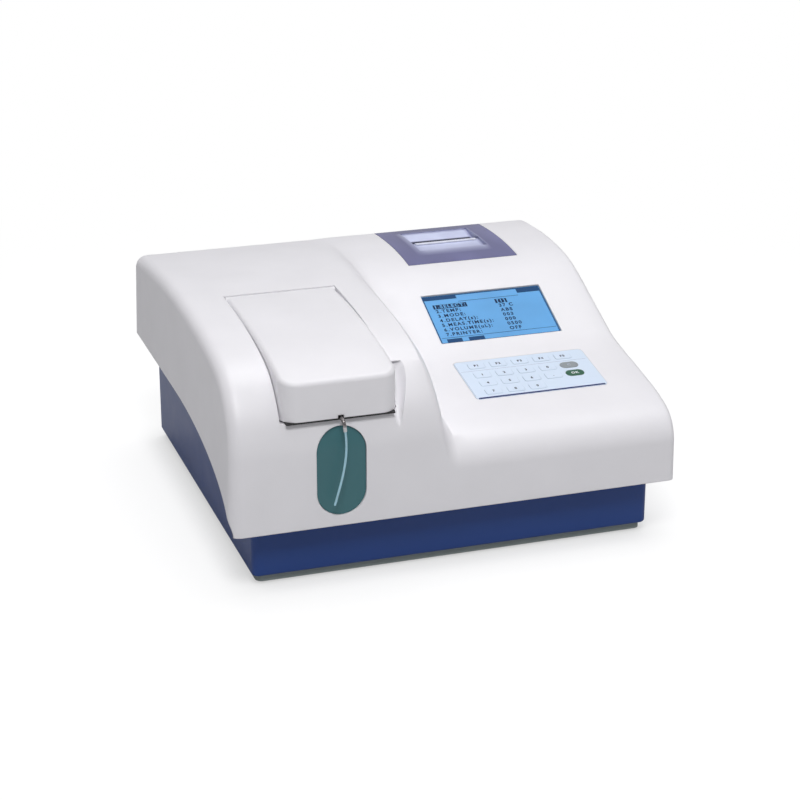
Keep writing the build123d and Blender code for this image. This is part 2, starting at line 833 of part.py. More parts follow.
with BuildPart() as printer_cover:
    block(
        (bay_left + bay_gap, bay_right - bay_gap),
        (bay_front + bay_gap, cover_depth + 1),
        (door_hinge_height, form_headroom),
    )
    add(door_layer.part, mode=Mode.INTERSECT)
    add(dish_block.part)
    with BuildSketch(Plane.YZ.offset(from_left(dish_left))):
        with BuildLine():
            Polyline(
                (from_front(dish_front), form_headroom),
                (from_front(dish_front), dish_top - dish_front_depth),
                (from_front(dish_front + dish_front_run), dish_top - dish_floor_depth),
                (from_front(slot_front), dish_top - dish_lip_depth),
                (from_front(slot_front), dish_top - slot_depth),
                (from_front(slot_front + slot_width), dish_top - slot_depth),
                (from_front(dish_rear), console_height(dish_rear) - dish_rear_depth),
                (from_front(dish_rear), form_headroom),
                close=True,
            )
        make_face()
    extrude(amount=dish_right - dish_left, mode=Mode.SUBTRACT)
    block(
        (dish_left + slot_margin, dish_right - slot_margin),
        (slot_front, slot_front + slot_width),
        (door_hinge_height - 5, form_headroom),
        mode=Mode.SUBTRACT,
    )
    rod_x((bay_left + bay_gap, bay_right - bay_gap), door_hinge_y, door_hinge_height, door_barrel)
    for x_span in (
        (bay_left, bay_left + lid_pin_depth + 1),
        (bay_right - lid_pin_depth - 1, bay_right),
    ):
        rod_x(x_span, door_hinge_y, door_hinge_height, door_pin_radius + fit_clearance, Mode.SUBTRACT)
finish(printer_cover, "printer_cover")

with BuildPart() as printer_bucket:
    bucket_x = (bay_left - bucket_side, bay_right + bucket_side)
    bucket_rear = cover_depth - bucket_rear_gap
    bucket_y = (bay_front - bucket_side, bucket_rear)
    inside_x = (bucket_x[0] + bucket_wall, bucket_x[1] - bucket_wall)
    inside_y = (bucket_y[0] + bucket_wall, bucket_y[1] - bucket_wall)
    block(bucket_x, bucket_y, (bucket_floor, form_headroom))
    add(inner_form.moved(Location((0, 0, -fit_clearance))), mode=Mode.INTERSECT)
    block(inside_x, inside_y, (bucket_floor + bucket_wall, form_headroom), mode=Mode.SUBTRACT)
    block(
        inside_x,
        (inside_y[1] - 1, bucket_rear + 1),
        (bucket_rear_height, form_headroom),
        mode=Mode.SUBTRACT,
    )
finish(printer_bucket, "printer_bucket")

with BuildPart() as printer_mechanism:
    cheek_x = (bay_middle - mechanism_half_width, bay_middle + mechanism_half_width)
    block(
        cheek_x,
        (platen_y + platen_radius + 1.5, mechanism_rear),
        (bucket_floor + bucket_wall, mechanism_top - 2),
    )
    for x_span in ((cheek_x[0], cheek_x[0] + cheek_thickness), (cheek_x[1] - cheek_thickness, cheek_x[1])):
        block(x_span, (platen_y - 10, mechanism_rear), (cheek_bottom, mechanism_top))
        rod_x((x_span[0] - 1, x_span[1] + 1), platen_y, platen_z, platen_shaft + fit_clearance, Mode.SUBTRACT)
finish(printer_mechanism, "printer_mechanism")

with BuildPart() as platen_roller:
    rod_x((cheek_x[0] - 1, cheek_x[1] + 1), platen_y, platen_z, platen_shaft)
    rod_x(
        (cheek_x[0] + cheek_thickness + 1, cheek_x[1] - cheek_thickness - 1),
        platen_y,
        platen_z,
        platen_radius,
    )
finish(platen_roller, "platen_roller")

with BuildPart() as paper_roll:
    roll_z = bucket_floor + bucket_wall + roll_radius + air_gap
    roll_x = (bay_middle - roll_width / 2, bay_middle + roll_width / 2)
    rod_x(roll_x, roll_y, roll_z, roll_radius)
    rod_x((roll_x[0] - 1, roll_x[1] + 1), roll_y, roll_z, roll_core, Mode.SUBTRACT)
finish(paper_roll, "paper_roll")

# ---------------------------------------------------------------- sampling
with BuildPart() as sample_sleeve:
    with BuildLine() as sleeve_path:
        FilletPolyline(
            (from_left(plate_x), from_front(sleeve_rear), sleeve_rise),
            (from_left(plate_x), from_front(-sleeve_out), sleeve_rise),
            (from_left(tube_points[0][0]), from_front(-sleeve_out), sleeve_tip),
            radius=sleeve_bend,
        )
    with BuildSketch(Plane(origin=sleeve_path.line @ 0, z_dir=sleeve_path.line % 0)):
        Circle(sleeve_radius)
    sweep(path=sleeve_path.line)
    block(
        (plate_x - saddle_half_width, plate_x + saddle_half_width),
        (sleeve_rear - 6, sleeve_rear),
        (well_ledge_top, sleeve_rise + 1),
    )
    rod_y(plate_x, (sleeve_rear - 3, sleeve_rear + 1), sleeve_rise, tube_radius + fit_clearance, Mode.SUBTRACT)
finish(sample_sleeve, "sample_sleeve")


def bend_radii(points):
    """Bend radii that use most of each pair of straight runs."""
    radii = []
    for before, corner, after in zip(points, points[1:], points[2:]):
        arriving = corner - before
        leaving = after - corner
        half_turn = math.radians(arriving.get_angle(leaving)) / 2
        radii.append(bend_share * min(arriving.length, leaving.length) / math.tan(half_turn))
    return radii


with BuildPart() as sample_tube:
    hanging = [Vector(from_left(x), from_front(y), z) for x, y, z in tube_points]
    tube_radii = bend_radii(hanging)
    print("sample tube bend radii", [round(radius, 1) for radius in tube_radii])
    with BuildLine() as tube_path:
        FilletPolyline(*hanging, radius=tube_radii)
    with BuildSketch(Plane(origin=tube_path.line @ 0, z_dir=tube_path.line % 0)):
        Circle(tube_radius)
    sweep(path=tube_path.line)
    print("sample tube length", round(sum(edge.length for edge in tube_path.edges()), 1))
finish(sample_tube, "sample_tube")


def tube_along(points, radii, radius):
    """A tube through points measured from the left, the front and the bench."""
    corners = [(from_left(x), from_front(y), z) for x, y, z in points]
    with BuildPart() as tube:
        with BuildLine() as path:
            FilletPolyline(*corners, radius=radii)
        with BuildSketch(Plane(origin=path.line @ 0, z_dir=path.line % 0)):
            Circle(radius)
        sweep(path=path.line)
    return tube.part


with BuildPart() as fluid_lines:
    add(
        tube_along(
            [
                (waste_x, panel_rear - waste_length, waste_z),
                (waste_x, 200, waste_z),
                (loop_x[0], 180, line_rise),
                (loop_x[0], loop_y, line_rise),
                (loop_x[0], loop_y, pump_z - loop_radius),
                (loop_x[1], loop_y, pump_z - loop_radius),
                (loop_x[1], loop_y, cell_port_z),
                (loop_x[1], cell_y, cell_port_z),
                (block_x[1], cell_y, cell_port_z),
            ],
            [30, 30, 8, loop_radius, loop_radius, 8, 5],
            line_radius,
        )
    )
    add(
        tube_along(
            [
                (plate_x, sleeve_rear - 3, sleeve_rise),
                (plate_x, 58, sleeve_rise),
                (plate_x, 80, 166),
                (plate_x, cell_y, 166),
                (plate_x, cell_y, cell_top),
            ],
            [18, 5, 3.2],
            tube_radius,
        )
    )
finish(fluid_lines, "fluid_lines")

# ---------------------------------------------------------------- optics
with BuildPart() as cell_block:
    block(block_x, block_y, (bench_top + lid_wall, block_top))
    block(
        (optical_x - cell_half - 0.5, optical_x + cell_half + 0.5),
        (cell_y - cell_half, cell_y + cell_half),
        (cell_bottom, block_top + 1),
        mode=Mode.SUBTRACT,
    )
    rod_y(optical_x, (block_y[0] - 1, block_y[1] + 1), optical_z, 4, Mode.SUBTRACT)
finish(cell_block, "cell_block")

with BuildPart() as flow_cell:
    block(
        (optical_x - cell_half, optical_x + cell_half),
        (cell_y - cell_half + air_gap, cell_y + cell_half - air_gap),
        (cell_bottom, cell_top),
    )
finish(flow_cell, "flow_cell")

with BuildPart() as detector_board:
    block(block_x, (block_y[0] - 4, block_y[0] - 4 + board_thickness), (cell_bottom, block_top))
    rod_y(optical_x, (block_y[0] - 4, block_y[0]), optical_z, 5)
finish(detector_board, "detector_board")

with BuildPart() as optics_bench:
    block(bench_x, bench_y, (bench_top - bench_thickness, bench_top))
    for x in (bench_x[0] + 6, bench_x[1] - 6):
        for y in (bench_y[0] + 10, bench_y[1] - 8):
            rod_z(x, y, (tub_floor, bench_top - bench_thickness), post_radius)
    rod_z(loop_x[1], loop_y, (bench_top - bench_thickness - 1, bench_top + 1), line_radius + 0.8, Mode.SUBTRACT)
    block(
        (wheel_x - motor_side / 2 - 2, wheel_x + motor_side / 2 + 2),
        (motor_front - 3, motor_front),
        (bench_top, wheel_z + motor_side / 2 + 2),
    )
    rod_y(wheel_x, (motor_front - 4, motor_front + 1), wheel_z, motor_shaft + 2.5, Mode.SUBTRACT)
finish(optics_bench, "optics_bench")

with BuildPart() as filter_wheel:
    rod_y(wheel_x, (wheel_y, wheel_y + wheel_thickness), wheel_z, wheel_radius)
    rod_y(wheel_x, (wheel_y, wheel_y + wheel_thickness + 2.7), wheel_z, 7)
    rod_y(wheel_x, (wheel_y, motor_front + 6), wheel_z, motor_shaft)
    for place in range(filter_count):
        turn = math.radians(180 + place * 360 / filter_count)
        rod_y(
            wheel_x + wheel_pitch * math.cos(turn),
            (wheel_y - 1, wheel_y + wheel_thickness + 1),
            wheel_z + wheel_pitch * math.sin(turn),
            filter_radius,
            Mode.SUBTRACT,
        )
finish(filter_wheel, "filter_wheel")

with BuildPart() as filter_motor:
    block(
        (wheel_x - motor_side / 2, wheel_x + motor_side / 2),
        (motor_front, motor_front + motor_length),
        (wheel_z - motor_side / 2, wheel_z + motor_side / 2),
    )
    fillet(filter_motor.edges().filter_by(Axis.Y), 3)
    rod_y(wheel_x, (motor_front - 1, motor_front + 7), wheel_z, motor_shaft + fit_clearance, Mode.SUBTRACT)
finish(filter_motor, "filter_motor")

with BuildPart() as lamp_housing:
    block(lamp_x, lamp_y, (bench_top, lamp_top))
    block(
        (lamp_x[0] + cover_wall, lamp_x[1] - cover_wall),
        (lamp_y[0] + cover_wall, lamp_y[1] - cover_wall),
        (bench_top - 1, lamp_top - cover_wall),
        mode=Mode.SUBTRACT,
    )
    rod_y(optical_x, (snout_front, lamp_y[0] + 1), optical_z, 10)
    rod_y(optical_x, (snout_front - 1, lamp_y[0] + cover_wall + 1), optical_z, 7, Mode.SUBTRACT)
    for place in range(5):
        y = lamp_y[0] + 12 + 9 * place
        block((lamp_x[0] + 10, lamp_x[1] - 10), (y - 2, y + 2), (lamp_top - 4, lamp_top + 1), mode=Mode.SUBTRACT)
finish(lamp_housing, "lamp_housing")

with BuildPart() as halogen_lamp:
    rod_z(optical_x, sum(lamp_y) / 2, (bench_top, optical_z - 21), 8)
    rod_z(optical_x, sum(lamp_y) / 2, (optical_z - 21, optical_z + 5), 5.5)
    fillet(halogen_lamp.faces().sort_by(Axis.Z)[-1].edges(), 5)
finish(halogen_lamp, "halogen_lamp")

# ---------------------------------------------------------------- pump
with BuildPart() as pump_head:
    rod_y(pump_x, (pump_front, pump_front + pump_depth), pump_z, pump_radius)
    block((pump_x - 20, pump_x + 20), (pump_front, pump_front + pump_depth), (tub_floor, pump_z - 20))
    rod_y(pump_x, (pump_front - 1, pump_front + pump_depth - 4), pump_z, loop_radius + line_radius + 0.3, Mode.SUBTRACT)
    for x in loop_x:
        block(
            (x - line_radius - 0.5, x + line_radius + 0.5),
            (pump_front - 1, pump_front + pump_depth - 4),
            (pump_z, pump_z + pump_radius + 1),
            mode=Mode.SUBTRACT,
        )
    rod_y(pump_x, (pump_front, pump_front + pump_depth + 1), pump_z, 8, Mode.SUBTRACT)
finish(pump_head, "pump_head")

with BuildPart() as pump_rotor:
    for y_span in ((pump_front + 1, pump_front + 4), (pump_front + 17, pump_front + 20)):
        rod_y(pump_x, y_span, pump_z, rotor_radius - 1.5)
    rod_y(pump_x, (pump_front + 1, pump_front + pump_depth + 10), pump_z, 3)
    for place in range(4):
        turn = math.radians(45 + 90 * place)
        rod_y(
            pump_x + 16 * math.cos(turn),
            (pump_front + 3, pump_front + 18),
            pump_z + 16 * math.sin(turn),
            4.4,
        )
finish(pump_rotor, "pump_rotor")

with BuildPart() as pump_motor:
    gearbox_front = pump_front + pump_depth
    block((pump_x - 20, pump_x + 20), (gearbox_front, gearbox_front + 20), (pump_z - 20, pump_z + 20))
    fillet(pump_motor.edges().filter_by(Axis.Y), 3)
    rod_y(pump_x, (gearbox_front + 19, gearbox_front + 68), pump_z, 16)
    rod_y(pump_x, (gearbox_front - 1, gearbox_front + 12), pump_z, 3 + fit_clearance, Mode.SUBTRACT)
finish(pump_motor, "pump_motor")

# ---------------------------------------------------------------- electronics
with BuildPart() as power_supply:
    block(supply_x, supply_y, (14, 52))
    fillet(power_supply.edges().filter_by(Axis.Z), 2)
    for x in (supply_x[0] + 8, supply_x[1] - 8):
        for y in (supply_y[0] + 8, supply_y[1] - 8):
            rod_z(x, y, (tub_floor, 14), 4)
finish(power_supply, "power_supply")

with BuildPart() as main_board:
    block((168, 352), (56, 220), (board_rise, board_rise + board_thickness))
    for x_span, y_span, height in (
        ((210, 240), (90, 120), 2.2),
        ((262, 282), (86, 104), 2.0),
        ((300, 318), (86, 112), 2.0),
        ((176, 196), (150, 206), 11.0),
        ((240, 300), (204, 214), 9.0),
        ((322, 340), (150, 196), 8.0),
    ):
        block(x_span, y_span, (board_rise + board_thickness, board_rise + board_thickness + height))
finish(main_board, "main_board")

# ---------------------------------------------------------------- rear services
with BuildPart() as rear_panel:
    block(
        (window_left - panel_lap, window_right + panel_lap),
        (panel_rear - panel_sheet, panel_rear),
        (window_low - panel_lap, window_high + panel_lap),
    )
    block(
        (inlet_x - inlet_half_width - air_gap, inlet_x + inlet_half_width + air_gap),
        (panel_rear - panel_sheet - 1, panel_rear + 1),
        (inlet_body_z[0] - air_gap, inlet_body_z[1] + air_gap),
        mode=Mode.SUBTRACT,
    )
    rod_y(waste_x, (panel_rear - panel_sheet - 1, panel_rear + 1), waste_z, waste_body + 0.1, Mode.SUBTRACT)
    for place in range(-3, 4):
        slot_z = fan_z + 7.4 * place
        slot_half = math.sqrt((fan_bore - 1) ** 2 - (slot_z - fan_z) ** 2)
        with Locations((from_left(fan_x), from_front(panel_rear - panel_sheet / 2), slot_z)):
            Box(2 * slot_half, 2 * panel_sheet, 4.6, mode=Mode.SUBTRACT)
    for place in range(7):
        x = 222 - 3.5 * place * 2
        if abs(x - waste_x) > 12:
            block((x - 1.6, x + 1.6), (panel_rear - 3, panel_rear + 1), (38, 82), mode=Mode.SUBTRACT)
finish(rear_panel, "rear_panel")

with BuildPart() as mains_inlet:
    block(
        (inlet_x - inlet_half_width, inlet_x + inlet_half_width),
        (panel_rear - inlet_depth, panel_rear),
        inlet_body_z,
    )
    block(
        (inlet_x - inlet_half_width - inlet_flange, inlet_x + inlet_half_width + inlet_flange),
        (panel_rear, panel_rear + inlet_flange_thickness),
        (inlet_body_z[0] - inlet_flange, inlet_body_z[1] + inlet_flange),
    )
    with BuildSketch(Plane.XZ.offset(-from_front(panel_rear + inlet_flange_thickness))):
        with Locations((from_left(inlet_x), inlet_z)):
            Rectangle(socket_width, socket_height)
    extrude(amount=socket_depth, mode=Mode.SUBTRACT)
    for x_shift, z_shift in ((-7, -2), (0, 2), (7, -2)):
        block(
            (inlet_x + x_shift - 1, inlet_x + x_shift + 1),
            (panel_rear + 1 - socket_depth, panel_rear - 3),
            (inlet_z + z_shift - 2, inlet_z + z_shift + 2),
        )
    block(
        (inlet_x - rocker_half_width - 0.4, inlet_x + rocker_half_width + 0.4),
        (panel_rear - rocker_pocket_depth, panel_rear + 2 * inlet_flange_thickness),
        (rocker_z - 7, rocker_z + 7),
        mode=Mode.SUBTRACT,
    )
    rod_x(
        (inlet_x - rocker_half_width - 2.2, inlet_x + rocker_half_width + 2.2),
        panel_rear - rocker_axle_depth,
        rocker_z,
        rocker_stub + fit_clearance,
        Mode.SUBTRACT,
    )
finish(mains_inlet, "mains_inlet")

with BuildPart() as power_rocker:
    rocker_lean = math.radians(rocker_tilt)
    rocker_axle = Plane(
        origin=(from_left(inlet_x - rocker_half_width), from_front(panel_rear - rocker_axle_depth), rocker_z),
        x_dir=(0, math.cos(rocker_lean), -math.sin(rocker_lean)),
        z_dir=(1, 0, 0),
    )
    with BuildSketch(rocker_axle):
        with BuildLine():
            Polyline((5, 6), (3.9, 0), (5, -6), (-3, -4.5), (-3, 4.5), close=True)
        make_face()
    extrude(amount=2 * rocker_half_width)
    rod_x(
        (inlet_x - rocker_half_width - 2, inlet_x + rocker_half_width + 2),
        panel_rear - rocker_axle_depth,
        rocker_z,
        rocker_stub,
    )
finish(power_rocker, "power_rocker")

with BuildPart() as fan_frame:
    fan_front = panel_rear - panel_sheet - fan_depth
    block(
        (fan_x - fan_side / 2, fan_x + fan_side / 2),
        (fan_front, fan_front + fan_depth),
        (fan_z - fan_side / 2, fan_z + fan_side / 2),
    )
    fillet(fan_frame.edges().filter_by(Axis.Y), 4)
    rod_y(fan_x, (fan_front - 1, fan_front + fan_depth + 1), fan_z, fan_bore, Mode.SUBTRACT)
    rod_y(fan_x, (fan_front, fan_front + 3), fan_z, 12)
    block((fan_x - fan_bore - 1, fan_x + fan_bore + 1), (fan_front, fan_front + 2), (fan_z - 2, fan_z + 2))
    block((fan_x - 2, fan_x + 2), (fan_front, fan_front + 2), (fan_z - fan_bore - 1, fan_z + fan_bore + 1))
    rod_y(fan_x, (fan_front - 1, fan_front + 4), fan_z, fan_shaft + fit_clearance, Mode.SUBTRACT)
finish(fan_frame, "fan_frame")

with BuildPart() as fan_rotor:
    rod_y(fan_x, (fan_front + 4, fan_front + fan_depth - 1), fan_z, 12)
    rod_y(fan_x, (fan_front + 0.3, fan_front + 5), fan_z, fan_shaft)
    fan_hub = Location((from_left(fan_x), from_front(fan_front + fan_depth / 2 + 1.5), fan_z))
    for place in range(7):
        spoke = Location((0, 0, 0), (0, 360 * place / 7, 0)) * Location((19.2, 0, 0), (35, 0, 0))
        with Locations(fan_hub * spoke):
            Box(15.4, 9, 1.2)
finish(fan_rotor, "fan_rotor")

with BuildPart() as waste_fitting:
    rod_y(waste_x, (panel_rear, tub_rear + 1), waste_z, waste_body + 2)
    rod_y(waste_x, (panel_rear - waste_length, panel_rear + 1), waste_z, waste_body)
    rod_y(waste_x, (tub_rear + 1 - 12, tub_rear + 2), waste_z, waste_bore, Mode.SUBTRACT)
finish(waste_fitting, "waste_fitting")
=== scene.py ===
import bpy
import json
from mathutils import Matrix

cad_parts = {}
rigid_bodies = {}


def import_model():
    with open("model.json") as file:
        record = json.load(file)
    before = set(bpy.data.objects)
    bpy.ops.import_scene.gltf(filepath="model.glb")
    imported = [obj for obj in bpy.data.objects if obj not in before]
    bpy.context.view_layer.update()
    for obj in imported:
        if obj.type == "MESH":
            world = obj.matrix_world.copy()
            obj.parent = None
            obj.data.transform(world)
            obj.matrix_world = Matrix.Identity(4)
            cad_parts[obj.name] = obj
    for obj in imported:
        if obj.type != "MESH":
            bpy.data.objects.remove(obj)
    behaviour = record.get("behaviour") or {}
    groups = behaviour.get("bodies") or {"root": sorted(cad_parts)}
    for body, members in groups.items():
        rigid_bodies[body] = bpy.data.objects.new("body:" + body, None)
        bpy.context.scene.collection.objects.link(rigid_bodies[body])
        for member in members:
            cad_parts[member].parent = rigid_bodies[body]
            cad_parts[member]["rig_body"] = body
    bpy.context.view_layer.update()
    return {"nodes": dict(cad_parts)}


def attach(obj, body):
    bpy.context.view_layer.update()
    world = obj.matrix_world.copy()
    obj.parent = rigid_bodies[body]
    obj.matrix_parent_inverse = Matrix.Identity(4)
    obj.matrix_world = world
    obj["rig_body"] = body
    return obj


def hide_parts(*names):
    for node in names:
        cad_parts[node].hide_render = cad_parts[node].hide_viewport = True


bl_info = {
    "name": "Benchtop chemistry analyzer",
    "version": (1, 0, 0),
    "blender": (4, 5, 0),
    "location": "View3D > Sidebar > Analyzer",
    "description": "Finishes and details a benchtop chemistry analyzer around its CAD frame",
    "category": "Object",
}

import json
import math

import bpy
from bpy.props import FloatProperty, FloatVectorProperty, PointerProperty
from mathutils import Matrix, Vector

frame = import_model()

MM = 0.001
MIDDLE_X, MIDDLE_Y = 200, 183
WELD = 0.000002
LETTER_THICKNESS = 0.01
INK_THICKNESS = 0.03
KEY_NAMES = [f"key_f{number}" for number in range(1, 6)]
KEY_NAMES += ["key_1", "key_2", "key_3", "key_0", "key_4", "key_5", "key_6", "key_point"]
KEY_NAMES += ["key_7", "key_8", "key_9", "key_back", "key_enter"]
KEY_FINISHES = {"key_back": "key_grey", "key_enter": "key_green"}


# ---------------------------------------------------------------- hand tools
def deselect():
    """Leave nothing selected and nothing active."""
    if bpy.context.object is not None and bpy.context.object.mode != "OBJECT":
        bpy.ops.object.mode_set(mode="OBJECT")
    bpy.ops.object.select_all(action="DESELECT")
    bpy.context.view_layer.objects.active = None


def pick(piece):
    """Select one piece and make it the active one."""
    deselect()
    piece.select_set(True)
    bpy.context.view_layer.objects.active = piece


def at(x, y, z):
    """A place given in millimetres from the left side, the front and the bench."""
    return Vector(((x - MIDDLE_X) * MM, (y - MIDDLE_Y) * MM, z * MM))


def settle(piece, panel=None, smooth=30):
    """Put a piece's place into its mesh and smooth its shading."""
    if panel is not None:
        piece.matrix_world = panel @ piece.matrix_world
    pick(piece)
    bpy.ops.object.transform_apply(location=True, rotation=True, scale=True)
    bpy.ops.object.shade_smooth_by_angle(angle=math.radians(smooth))
    return piece


def apply_modifier(piece, kind, **values):
    """Add a modifier and apply it."""
    pick(piece)
    modifier = piece.modifiers.new(kind.title(), kind)
    for key, value in values.items():
        setattr(modifier, key, value)
    bpy.ops.object.modifier_apply(modifier=modifier.name)


def finished(piece, material, body, stands_for=()):
    """Give a piece its finish and its body, and hide the CAD parts it stands for."""
    piece.data.materials.clear()
    piece.data.materials.append(material)
    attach(piece, body)
    if stands_for:
        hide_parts(*stands_for)
    return piece


def tilted(x, y, z, slope):
    """A frame lying on the console: its own x across, y up the slope, z out of it."""
    return Matrix.Translation(at(x, y, z)) @ Matrix.Rotation(math.radians(slope), 4, "X")


# Middle of each panel from the left side, the front and the bench, and its slope in degrees.
SCREEN = tilted(294, 185.05, 155.463, 24.26)
KEYPAD = tilted(297.15, 96.0, 127.75, 10.35)
SCREEN_WIDTH, SCREEN_LENGTH = 114.6, 62.6
SCREEN_SINK = -1.20


def merged_copy(node, name, angle):
    """A welded, smooth-shaded copy of a CAD node, to dress in its place."""
    deselect()
    piece = bpy.data.objects.new(name, frame["nodes"][node].data.copy())
    bpy.context.scene.collection.objects.link(piece)
    pick(piece)
    bpy.ops.mesh.customdata_custom_splitnormals_clear()
    bpy.ops.object.mode_set(mode="EDIT")
    bpy.ops.mesh.select_all(action="SELECT")
    bpy.ops.mesh.remove_doubles(threshold=WELD)
    bpy.ops.object.mode_set(mode="OBJECT")
    bpy.ops.object.shade_smooth_by_angle(angle=math.radians(angle))
    return piece


def rounded_plate(name, width, length, thickness, corner, panel, u=0.0, v=0.0, lift=0.0):
    """A plate with round corners lying on a panel; sizes in millimetres."""
    deselect()
    bpy.ops.mesh.primitive_plane_add(size=1, location=(u * MM, v * MM, lift * MM))
    piece = bpy.context.object
    piece.name = name
    piece.scale = (width * MM, length * MM, 1)
    bpy.ops.object.transform_apply(location=True, rotation=True, scale=True)
    bpy.ops.object.mode_set(mode="EDIT")
    bpy.ops.mesh.select_all(action="SELECT")
    if corner:
        bpy.ops.mesh.bevel(offset=corner * MM, segments=6, affect="VERTICES")
        bpy.ops.mesh.select_all(action="SELECT")
    bpy.ops.mesh.extrude_region_move(TRANSFORM_OT_translate={"value": (0, 0, thickness * MM)})
    bpy.ops.mesh.select_all(action="SELECT")
    bpy.ops.mesh.normals_make_consistent(inside=False)
    bpy.ops.object.mode_set(mode="OBJECT")
    return settle(piece, panel)


def lettering(name, words, size, panel, u, v, lift, spacing, weight, align="CENTER"):
    """Raised lettering on a panel, made a mesh; sizes in millimetres."""
    deselect()
    bpy.ops.object.text_add(location=(u * MM, v * MM, lift * MM))
    piece = bpy.context.object
    piece.name = name
    piece.data.body = words
    piece.data.size = size * MM
    piece.data.align_x = align
    piece.data.align_y = "CENTER"
    piece.data.space_character = spacing
    piece.data.extrude = LETTER_THICKNESS * MM
    piece.data.offset = weight * MM
    piece.data.resolution_u = 3
    bpy.ops.object.convert(target="MESH")
    piece = bpy.context.object
    return settle(piece, panel)


# ---------------------------------------------------------------- finishes
class Finish:
    """One procedural material, built node by node."""

    def __init__(self, name, colour, roughness, metallic=0.0, **sockets):
        self.material = bpy.data.materials.new(name)
        self.material.use_nodes = True
        self.nodes = self.material.node_tree.nodes
        self.links = self.material.node_tree.links
        self.shader = self.nodes["Principled BSDF"]
        self.shader.inputs["Metallic"].default_value = metallic
        for key, value in sockets.items():
            self.shader.inputs[key.replace("_", " ")].default_value = value
        self.colour = tuple(colour)
        self.roughness = roughness
        self.shader.inputs["Base Color"].default_value = (*self.colour, 1)
        self.shader.inputs["Roughness"].default_value = roughness
        self.place = self.nodes.new("ShaderNodeTexCoord").outputs["Object"]
        self.height = None

    def stretched(self, scale):
        """The object coordinates, stretched for brushed or ribbed finishes."""
        mapping = self.nodes.new("ShaderNodeMapping")
        mapping.inputs["Scale"].default_value = scale
        self.links.new(self.place, mapping.inputs["Vector"])
        return mapping.outputs["Vector"]

    def noise(self, scale, detail=3.0, stretch=None):
        """A noise value over the surface; scale in cycles per metre."""
        texture = self.nodes.new("ShaderNodeTexNoise")
        texture.inputs["Scale"].default_value = scale
        texture.inputs["Detail"].default_value = detail
        place = self.stretched(stretch) if stretch else self.place
        self.links.new(place, texture.inputs["Vector"])
        return texture.outputs["Fac"]

    def ranged(self, value, low, high, start=0.3, stop=0.7):
        """A value carried from one range to another."""
        node = self.nodes.new("ShaderNodeMapRange")
        spans = {"From Min": start, "From Max": stop, "To Min": low, "To Max": high}
        for key, number in spans.items():
            node.inputs[key].default_value = number
        self.links.new(value, node.inputs["Value"])
        return node.outputs["Result"]

    def blended(self, factor, first, second):
        """Two colours mixed by a factor; either may be a socket."""
        node = self.nodes.new("ShaderNodeMix")
        node.data_type = "RGBA"
        self.links.new(factor, node.inputs["Factor"])
        for key, colour in (("A", first), ("B", second)):
            socket = next(item for item in node.inputs if item.name == key and item.type == "RGBA")
            if isinstance(colour, bpy.types.NodeSocket):
                self.links.new(colour, socket)
            else:
                socket.default_value = (*colour, 1)
        return next(item for item in node.outputs if item.type == "RGBA")

    def worked(self, operation, first, second):
        """A sum, product or other operation on two values."""
        node = self.nodes.new("ShaderNodeMath")
        node.operation = operation
        for place, value in enumerate((first, second)):
            if isinstance(value, bpy.types.NodeSocket):
                self.links.new(value, node.inputs[place])
            else:
                node.inputs[place].default_value = value
        return node.outputs["Value"]

    def mottled(self, scale, spread):
        """Slow colour variation, as moulded or sprayed surfaces have."""
        darker = tuple(channel * (1 - spread) for channel in self.colour)
        lighter = tuple(min(1.0, channel * (1 + spread)) for channel in self.colour)
        colour = self.blended(self.ranged(self.noise(scale), 0.0, 1.0), darker, lighter)
        self.links.new(colour, self.shader.inputs["Base Color"])
        return self

    def varied_gloss(self, scale, spread):
        """Roughness that drifts a little over the surface."""
        value = self.ranged(self.noise(scale), self.roughness - spread, self.roughness + spread)
        self.links.new(value, self.shader.inputs["Roughness"])
        return self

    def eased(self, radius):
        """Edges that catch the light as if rounded."""
        ease = self.nodes.new("ShaderNodeBevel")
        ease.samples = 6
        ease.inputs["Radius"].default_value = radius
        self.height = ease.outputs["Normal"]
        self.links.new(self.height, self.shader.inputs["Normal"])
        return self

    def bumped(self, value, strength, distance):
        """Fine relief from a value."""
        bump = self.nodes.new("ShaderNodeBump")
        bump.inputs["Strength"].default_value = strength
        bump.inputs["Distance"].default_value = distance
        self.links.new(value, bump.inputs["Height"])
        if self.height is not None:
            self.links.new(self.height, bump.inputs["Normal"])
        self.height = bump.outputs["Normal"]
        self.links.new(self.height, self.shader.inputs["Normal"])
        return self

    def grained(self, scale, strength, distance=0.00005, stretch=None):
        """Fine moulded or brushed grain."""
        return self.bumped(self.noise(scale, 4.0, stretch), strength, distance)


def moulded(name, colour, roughness, grain, ease=0.0, **sockets):
    """Moulded plastic: faint mottle, fine spark-eroded grain, drifting gloss."""
    finish = Finish(name, colour, roughness, **sockets)
    if ease:
        finish.eased(ease)
    return finish.mottled(22, 0.015).varied_gloss(60, 0.04).grained(grain, 0.12)


def sprayed(name, colour, roughness, **sockets):
    """Sprayed paint with a soft orange peel."""
    finish = Finish(name, colour, roughness, **sockets)
    return finish.mottled(15, 0.02).varied_gloss(45, 0.015).grained(650, 0.08, 0.00006)


def brushed(name, colour, roughness):
    """Metal with drawn or turned lines."""
    finish = Finish(name, colour, roughness, metallic=1.0)
    finish.mottled(30, 0.05).varied_gloss(120, 0.06)
    return finish.grained(120, 0.12, 0.00004, stretch=(1, 40, 40))


def cast(name, colour):
    """Cast or bead-blasted metal."""
    finish = Finish(name, colour, 0.5, metallic=1.0)
    return finish.mottled(40, 0.08).varied_gloss(90, 0.08).grained(1500, 0.35, 0.00008)


